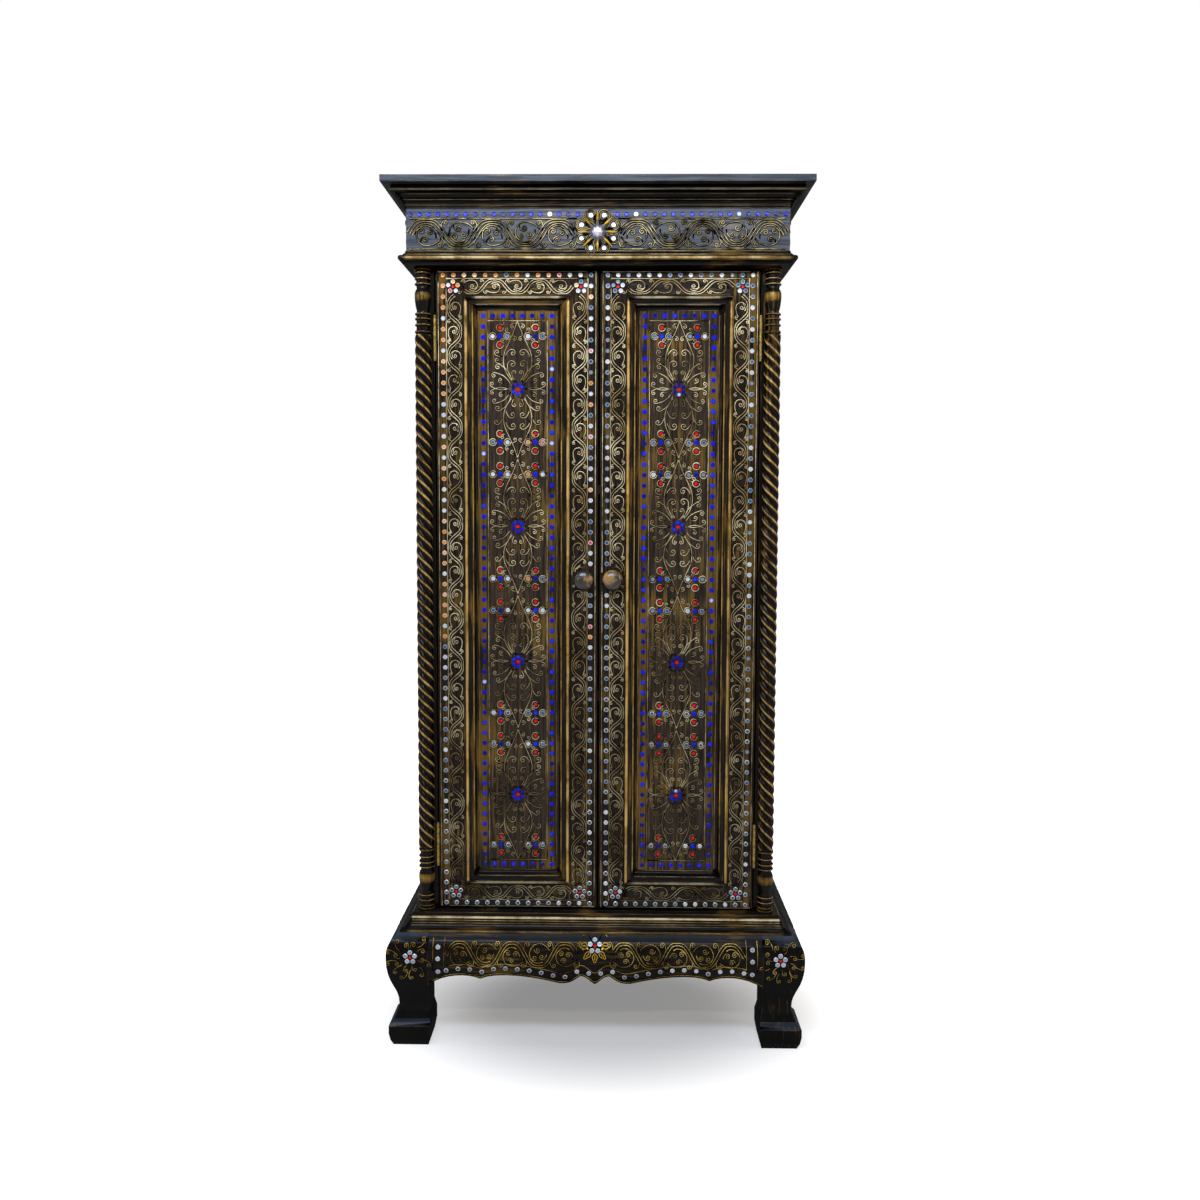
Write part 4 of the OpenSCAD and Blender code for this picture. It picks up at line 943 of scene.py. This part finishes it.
def side_at(x):
    """Lays threads on an upright face that looks to the right, or to the left where x is negative"""
    way = 1 if x > 0 else -1
    return lambda across, upward, height: (x + way*height, across, upward)


def wood_of(carriers):
    """The surfaces of a few nodes, to be looked at by rays"""
    bm = bmesh.new()
    for node in carriers:
        bm.from_mesh(nodes[node].data)
    wood = BVHTree.FromBMesh(bm)
    bm.free()
    return wood


def carried(carriers, way):
    """Lays threads on curved wood, found by looking at it along way from outside"""
    wood = wood_of(carriers)

    def lay(across, upward, height):
        """Each point where the look at it meets the wood, raised by its height"""
        points = []
        for a, b, h in zip(across, upward, height):
            start = Vector((a, 0, b)) if way.y else Vector((0, a, b))
            hit, face = wood.ray_cast(start - way, way)[:2]
            # What the look misses is laid on the wood nearest to a point 30 cm in front
            if hit is None:
                hit, face = wood.find_nearest(start - way*0.3)[:2]
            points.append(hit + face*(h if face.dot(way) < 0 else -h))
        return np.array(points).T
    return lay


def gilt_putty(name, dark_root_and_shade, low, high, from_crest=0.87, painted_shade_low_down=1.0):
    """Putty threads, black at their roots, where lacquer gathers and where a painted shade of the
    relief lies, with gold on their tops that comes and goes: each thread reads as a thin bright line
    between two dark ones. Less gold can be left low down, a painted shade of the lower threads"""
    made, add, place = new_material(name)
    crest = add("Attribute", out="Fac", attribute_name="crest")
    wear = add("TexNoise", {"Vector": place, "Scale": 55.0, "Detail": 4.0, "Roughness": 0.65})
    hue = add("TexNoise", {"Vector": place, "Scale": 14.0, "Detail": 2.0})
    shift = add("MapRange", [wear, 0.3, 0.7, -0.07, 0.07])
    top = add("Math", [crest, shift], operation="ADD")
    rubbed = add("MapRange", [top, from_crest, from_crest + 0.08])
    # Less gold towards the bottom: a painted shade that darkens the lower threads
    if painted_shade_low_down < 1:
        height = add("SeparateXYZ", [place], out="Z")
        left = add("MapRange", [height, 0.3, 1.0, painted_shade_low_down])
        rubbed = add("Math", [rubbed, left], operation="MULTIPLY")
    hue = add("MapRange", [hue, 0.4, 0.6])
    gold = add("Mix", {0: hue, 6: low, 7: high}, data_type="RGBA")
    # Black roots: lacquer gathered beside the threads, and a painted shade of the relief
    skin = add("Mix", {0: rubbed, 6: dark_root_and_shade, 7: gold}, data_type="RGBA")
    metal = add("Math", [rubbed, 0.35], operation="MULTIPLY")
    add("OutputMaterial", [add("BsdfPrincipled",
        {"Base Color": skin, "Metallic": metal, "Roughness": 0.36, "Specular IOR Level": 0.0})])
    return made


putty = gilt_putty("gold_rubbed_putty", "#070504", "#86714a", "#c8b890", painted_shade_low_down=0.55)
frieze_putty = gilt_putty("gold_rubbed_putty_frieze", "#080706", "#746640", "#a89a70", 0.92)
stand_putty = gilt_putty("gold_rubbed_putty_stand", "#060403", "#8a6c2a", "#b8a058", 0.89)
gold_leaf = gilt_putty("gold_leaf_putty", "#171004", "#8a6418", "#cda638", 0.65)

# Curls in one bay of a vine. Narrow: a round branch with one curl in it, and loose curls in the
# corners. Wide: a round branch with three curls in it, and a curl in each corner.
narrow_curls = [(0.02, -0.1, 0.5, -0.05, 0.36, 1, 0.62, 0.84),
    (0.8, -0.1, 0.5, -0.02, 0.17, 1, 1.25, 0.28), (0.02, 0.1, -0.1, 0.36, 0.12, 1, 1.15, 0.3),
    (-0.02, -0.1, 0.1, -0.36, 0.12, 1, 1.15, 0.3)]
wide_curls = [(0.02, -0.1, 0.5, -0.04, 0.38, 1, 0.64, 0.84),
    (0.84, -0.02, 0.65, 0.08, 0.115, 1, 1.35, 0.28), (0.2, -0.16, 0.37, 0.04, 0.115, -1, 1.35, 0.28),
    (0.68, -0.32, 0.53, -0.2, 0.11, 1, 1.35, 0.28), (0.02, 0.1, -0.08, 0.38, 0.1, 1, 1.25, 0.3),
    (-0.02, -0.1, 0.08, -0.38, 0.1, 1, 1.25, 0.3)]

# The right half of the figure round each rosette of a panel: curls over it and under it, sprays
# to the side, and the outline that narrows to the next figure.
rosette_r = 13.0


def from_rosette(angle, centre, r, hand, turns=1.25, eye=0.22):
    """A curl whose stem starts on the rosette's rim, at an angle in degrees"""
    return swirl(rect(rosette_r, radians(angle)), centre, r, hand, turns, eye)


def down(path):
    """A path turned upside down"""
    return [p.conjugate() for p in path]


outline = [8 + 13j, 15 + 21j, 22.5 + 34j, 25.5 + 47j, 25 + 60j, 20.5 + 74j, 9.3 + 98j, 0 + 122j]
figure = both_ways([from_rosette(86, 6 + 30j, 5, 1), from_rosette(74, 9.5 + 45j, 9, 1, 1.35, 0.16),
    through(outline), swirl(22 + 55j, 9 + 65j, 7.6, 1, 1.3, 0.18), from_rosette(45, 36 + 40j, 6, -1),
    from_rosette(30, 43 + 25j, 5.5, -1), from_rosette(13, 46 + 10j, 5, 1),
    swirl(23 + 13j, 31 + 17j, 4.6, 1), from_rosette(-2, 46 - 6j, 4.6, -1),
    swirl(23 - 5j, 30 - 10j, 4.6, -1), from_rosette(-18, 42 - 20j, 5, 1),
    from_rosette(-33, 36 - 33j, 6, 1), swirl(26 + 60j, 37 + 67j, 6, 1), swirl(19 + 84j, 27 + 88j, 4.6, 1),
    swirl(2.5 + 118j, 9 + 112j, 4.2, -1), swirl(27 + 46j, 37 + 53j, 4.6, 1),
    swirl(13 + 96j, 5.5 + 90j, 4, 1), swirl(9 + 102j, 19 + 107j, 4.4, 1), through(down(outline)),
    from_rosette(-82, 5.5 - 27j, 4.8, -1), swirl(21 - 33j, 9.5 - 45j, 7.6, -1, 1.25, 0.18),
    swirl(22 - 54j, 9 - 65j, 7.6, -1, 1.3, 0.18), swirl(27 - 48j, 38 - 58j, 6, 1),
    swirl(18 - 82j, 27 - 86j, 4.6, -1), swirl(2.5 - 118j, 9 - 112j, 4.2, 1),
    swirl(13 - 96j, 5.5 - 90j, 4, -1), swirl(9 - 102j, 19 - 107j, 4.4, -1)])


# Threads of the doors: lines round the glass border, vines on the four sides of the frame, and
# on the panel a line inside the blue border, the figures, and a ring round each piece of the
# flowers.
line_in, line_end = 18.7, 14.3
edge_in, edge_end = 4.3, 2.2
vine_h = 27.0
bay_l = 43.0
vine_spread = 4.6
flower_room = 15.0
knob_room = 20.0
ring_r = 6.4
in_from_blue = complex(8.4, 8.8)
from_moulding = complex(1.5, 1.5)


def in_mm(point):
    """A place on an upright face, in millimetres"""
    return complex(point.x/MM, point.z/MM)


def corners_of(points):
    """The lower left and upper right corner of what a few points span"""
    across, upward = [p.real for p in points], [p.imag for p in points]
    return complex(min(across), min(upward)), complex(max(across), max(upward))


stiles = (("left", "hinge_stile", "meeting_stile"), ("right", "meeting_stile", "hinge_stile"))
for door, first, last in stiles:
    low = in_mm(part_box(f"{door}_{first}")[0])
    high = in_mm(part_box(f"{door}_{last}")[1])
    door_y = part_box(f"{door}_{first}")[0].y
    panel_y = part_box(door + "_panel")[0].y
    between_y = (door_y + panel_y)/2
    moulding = [in_mm(p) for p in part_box(door + "_panel_moulding")]
    inset = complex(line_in, line_end)
    frame_threads = rectangle(low + inset, high - inset)
    frame_threads += rectangle(low + complex(edge_in, edge_end), high - complex(edge_in, edge_end))
    reds = [s[0] for s in islands(door + "_red_glass")]
    flowers = [in_mm(p) for p in reds if p.y < between_y]
    hearts = [in_mm(p) for p in reds if p.y > between_y]
    flower_low, flower_high = corners_of(flowers)
    run = flower_high - flower_low - complex(1, 1)*2*flower_room
    band_mid = (inset + moulding[0] - low - from_moulding)/2
    climbing, lying = (vine(l, vine_h, round(l/bay_l), narrow_curls, vine_spread, 2)
        for l in (run.imag, run.real))
    for x, flip in ((low.real + band_mid.real, False), (high.real - band_mid.real, True)):
        frame_threads += moved(climbing, complex(x, flower_low.imag + flower_room), 1j, flip)
    for z, flip in ((low.imag + band_mid.imag, False), (high.imag - band_mid.imag, True)):
        frame_threads += moved(lying, complex(flower_low.real + flower_room, z), 1, flip)
    knob = sum(in_mm(p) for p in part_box(door + "_knob"))/2
    lay_threads(clear_of(frame_threads, knob, knob_room), door + "_frame_scrolls", putty, door + "_door",
        front_at(door_y))

    border_low, border_high = corners_of([in_mm(s[0]) for s in islands(door + "_blue_glass")])
    middle = (moulding[0] + moulding[1])/2
    rosettes = [p for p in hearts if abs(p.real - middle.real) < 1]
    panel_threads = rectangle(border_low + in_from_blue, border_high - in_from_blue)
    for p in rosettes:
        panel_threads += moved(figure, p)
    lay_threads(panel_threads, door + "_panel_scrolls", putty, door + "_door", front_at(panel_y), r=1.1)
    arms = [in_mm(s[0]) for s in islands(door + "_clear_glass") if s[0].y > between_y]
    rings = [circle(p, ring_r) for p in arms + [p for p in hearts if p not in rosettes]]
    lay_threads(rings, door + "_glass_settings", putty, door + "_door", front_at(panel_y), r=1.5)


# Threads of the head: a broad vine on each half of the frieze between two lines, and a star in
# the middle, a cut stone with gilt leaves and a ring of rounds in drop-shaped settings.
frieze_low, frieze_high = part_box("frieze_boards")
row_z = max(s[0].z for s in islands("frieze_blue_glass"))/MM
neck_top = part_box("neck_moulding")[1].z/MM
under_row, over_neck = 7.5, 2.6
line_under_row, line_over_neck = row_z - under_row, neck_top + over_neck
band_h = line_under_row - line_over_neck
band_mid_z = (line_under_row + line_over_neck)/2
vine_room = 3
star_clear = [s for s in islands("cabinet_clear_glass")
    if s[0].y < frieze_low.y + 1*MM and s[0].z > post_high.z]
stone = max(star_clear, key=lambda s: s[2])
star = in_mm(stone[0])
star_room = 40.0
head_spread = 5.4
from_corner = 7
upper_from, lower_from = -4, -24
half_l = frieze_high.x/MM - from_corner - star_room
run = vine(half_l, band_h - vine_room, 5, wide_curls, head_spread)
run.append(straight(complex(upper_from, band_h/2), complex(half_l, band_h/2)))
run.append(straight(complex(lower_from, -band_h/2), complex(half_l, -band_h/2)))
head_threads = both_ways(moved(run, complex(star_room, band_mid_z)))
drops = ((9.6, 18.0), (6.8, 12.0))
leaf_from, leaf_to = 15.0, 37.0
leaf_widths = (0.6, 1.0, 2.6, 2.4, 2.0, 1.6, 1.2, 0.8, 0.4)
leaf_steps = len(leaf_widths) - 1
star_leaves = []
for s in star_clear:
    p = in_mm(s[0])
    if 0 < abs(p - star) < star_room:
        way = (p - star)/abs(p - star)
        for drop_r, drop_tail in drops:
            drop = [p + way*rect(drop_r, radians(a)) for a in range(-135, 136, 27)]
            head_threads.append([p - way*drop_tail] + drop + [p - way*drop_tail])
        leaf_way = way*rect(1, pi/8)
        star_leaves.append([star + leaf_way*(leaf_from + (leaf_to - leaf_from)*k/leaf_steps)
            for k in range(leaf_steps + 1)])
lay_threads(head_threads, "frieze_scrolls", frieze_putty, "cabinet", front_at(frieze_low.y), r=1.7)
lay_threads(star_leaves, "star_leaves", gold_leaf, "cabinet", front_at(frieze_low.y), r=1.0,
    widths=leaf_widths)

side_room = 8
side_l = (frieze_high.y - frieze_low.y)/MM - 2*side_room
run = vine(side_l, band_h - vine_room, 7, wide_curls, head_spread)
run += [straight(complex(0, s*band_h/2), complex(side_l, s*band_h/2)) for s in (-1, 1)]
run = moved(run, complex(frieze_low.y/MM + side_room, band_mid_z))
for x, name in ((frieze_low.x, "left"), (frieze_high.x, "right")):
    lay_threads(run, f"frieze_{name}_side_scrolls", frieze_putty, "cabinet", side_at(x))


# Threads of the stand: vines on the aprons, lines that follow their scalloped edges, loose curls
# round the flower on each knee, and gilt leaves round the flower in the middle.
edge_line, low_line = 4.0, 22.0
end_gap, upright_to = 10.0, 199.0
scallop_step = 6


def scallop_lines(node, place, half, clear):
    """Lines along an apron's scalloped edge, one at the edge and one over the row of rounds, and
    two upright at each end: place turns millimetres from the middle into a place in metres"""
    wood = wood_of([node])

    def lower_edge(u):
        """Height of the scalloped edge, this far from the middle, both in millimetres"""
        return wood.ray_cast(Vector((*place(u), 0)), Vector((0, 0, 1)))[0].z/MM

    lines = []
    for above, reach in ((edge_line, half), (low_line, half - clear)):
        n = round(2*reach/scallop_step)
        lines.append([complex(u, lower_edge(u) + above)
            for u in (reach*(2*i/n - 1) for i in range(n + 1))])
    for s in (-1, 1):
        for u in (half - clear, half - end_gap):
            lines.append(straight(complex(s*u, lower_edge(s*u) + low_line), complex(s*u, upright_to)))
    return lines


apron_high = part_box("front_apron")[1]
apron_half = apron_high.x/MM - 1
in_wood = 20*MM
column_in = 30.0
knee_low, knee_high = 150.0, 197.0
knee_h, band_z = knee_high - knee_low, (knee_low + knee_high)/2
vine_gap = 4
leaf_room = 30.0
stand_spread = 5.0
stand_threads = scallop_lines("front_apron", lambda u: (u*MM, apron_high.y - in_wood), apron_half,
    column_in)
run_l = apron_half - column_in - leaf_room - vine_gap
stand_threads += both_ways(moved(vine(run_l, knee_h, 5, wide_curls, stand_spread, lines=2),
    complex(leaf_room, band_z)))
knee_reds = sorted((in_mm(s[0]) for s in islands("cabinet_red_glass")), key=lambda p: p.real)
apron_flower = knee_reds[1]
stand_threads += moved(both_ways([swirl(3 + 13j, 10 + 21j, 4, -1), swirl(8 + 9j, 20 + 15j, 3.6, -1)]),
    apron_flower)
knee_curls = [(-27, -28), (-16, -38), (2, -39), (20, -33), (-8, -24), (-23, -12), (-40, -12), (-25, 4),
    (-40, 9), (-24, 25), (-8, 20), (6, 21), (23, 29), (23, 11), (22, -4), (33, -14), (9, -22)]
knee_curl_r = 4.4
stem_least, stem_share, stem_lean = 10, 0.5, 0.2
for p in (knee_reds[0], knee_reds[2]):
    outward = 1 if p.real < 0 else -1
    for k, (u, v) in enumerate(knee_curls):
        tip = complex(outward*u, v)
        way = tip/abs(tip)
        stem = way*rect(max(stem_least, stem_share*abs(tip)), stem_lean)
        stand_threads.append(swirl(p + stem, p + tip, knee_curl_r, (-1)**k, 1.2, 0.3))
lay_on_front = carried(["front_apron", "leg_front_left", "leg_front_right"], Vector((0, 1, 0)))
lay_threads(stand_threads, "stand_scrolls", stand_putty, "cabinet", lay_on_front, r=1.0)

leaf = through([0 + 12j, 4.5 + 17j, 3.4 + 23j, 0 + 29j, -3.4 + 23j, -4.5 + 17j, 0 + 12j], 3)
leaves = [moved([leaf, [15j, 24j]], apron_flower, rect(1, -radians(a)))
    for a in (90, -90, 138, -138, 180)]
lay_threads([path for pair in leaves for path in pair], "apron_leaves", gold_leaf, "cabinet", lay_on_front,
    r=0.7)

side_low, side_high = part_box("side_aprons")
side_mid, side_half = (side_low.y + side_high.y)/2/MM, (side_high.y - side_low.y)/2/MM - 1
side_run = side_half - column_in - vine_gap
side_vine = moved(vine(2*side_run, knee_h, 5, wide_curls, stand_spread, lines=2), complex(-side_run, band_z))
for x, name in ((side_low.x, "left"), (side_high.x, "right")):
    way = Vector((1 if x < 0 else -1, 0, 0))
    side_threads = scallop_lines("side_aprons", lambda u: (x + way.x*in_wood, (side_mid + u)*MM),
        side_half, column_in)
    lay_threads(moved(side_threads + side_vine, complex(side_mid, 0)), f"{name}_apron_scrolls", stand_putty,
        "cabinet", carried(["side_aprons"], way), r=0.9)


# The side panels carry a doubled line with a curl in each corner.
panel_low, panel_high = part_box("side_panels")
corners = complex(panel_low.y/MM, panel_low.z/MM), complex(panel_high.y/MM, panel_high.z/MM)
line_insets = (26, 32)
lines = []
for inset in line_insets:
    lines += rectangle(corners[0] + complex(inset, inset), corners[1] - complex(inset, inset))
quarter = [swirl(44 + 70j, 52 + 52j, 7, -1), swirl(70 + 44j, 52 + 52j, 9, 1),
    swirl(44 + 96j, 52 + 84j, 6, -1), swirl(96 + 44j, 84 + 52j, 6, 1)]
for side, across in zip(corners, (1, -1)):
    for end, upward in zip(corners, (1, -1)):
        corner = complex(side.real, end.imag)
        lines += [[corner + complex(p.real*across, p.imag*upward) for p in path] for path in quarter]
for x, name in ((panel_low.x, "left"), (panel_high.x, "right")):
    lay_threads(lines, f"{name}_side_panel_lines", putty, "cabinet", side_at(x))
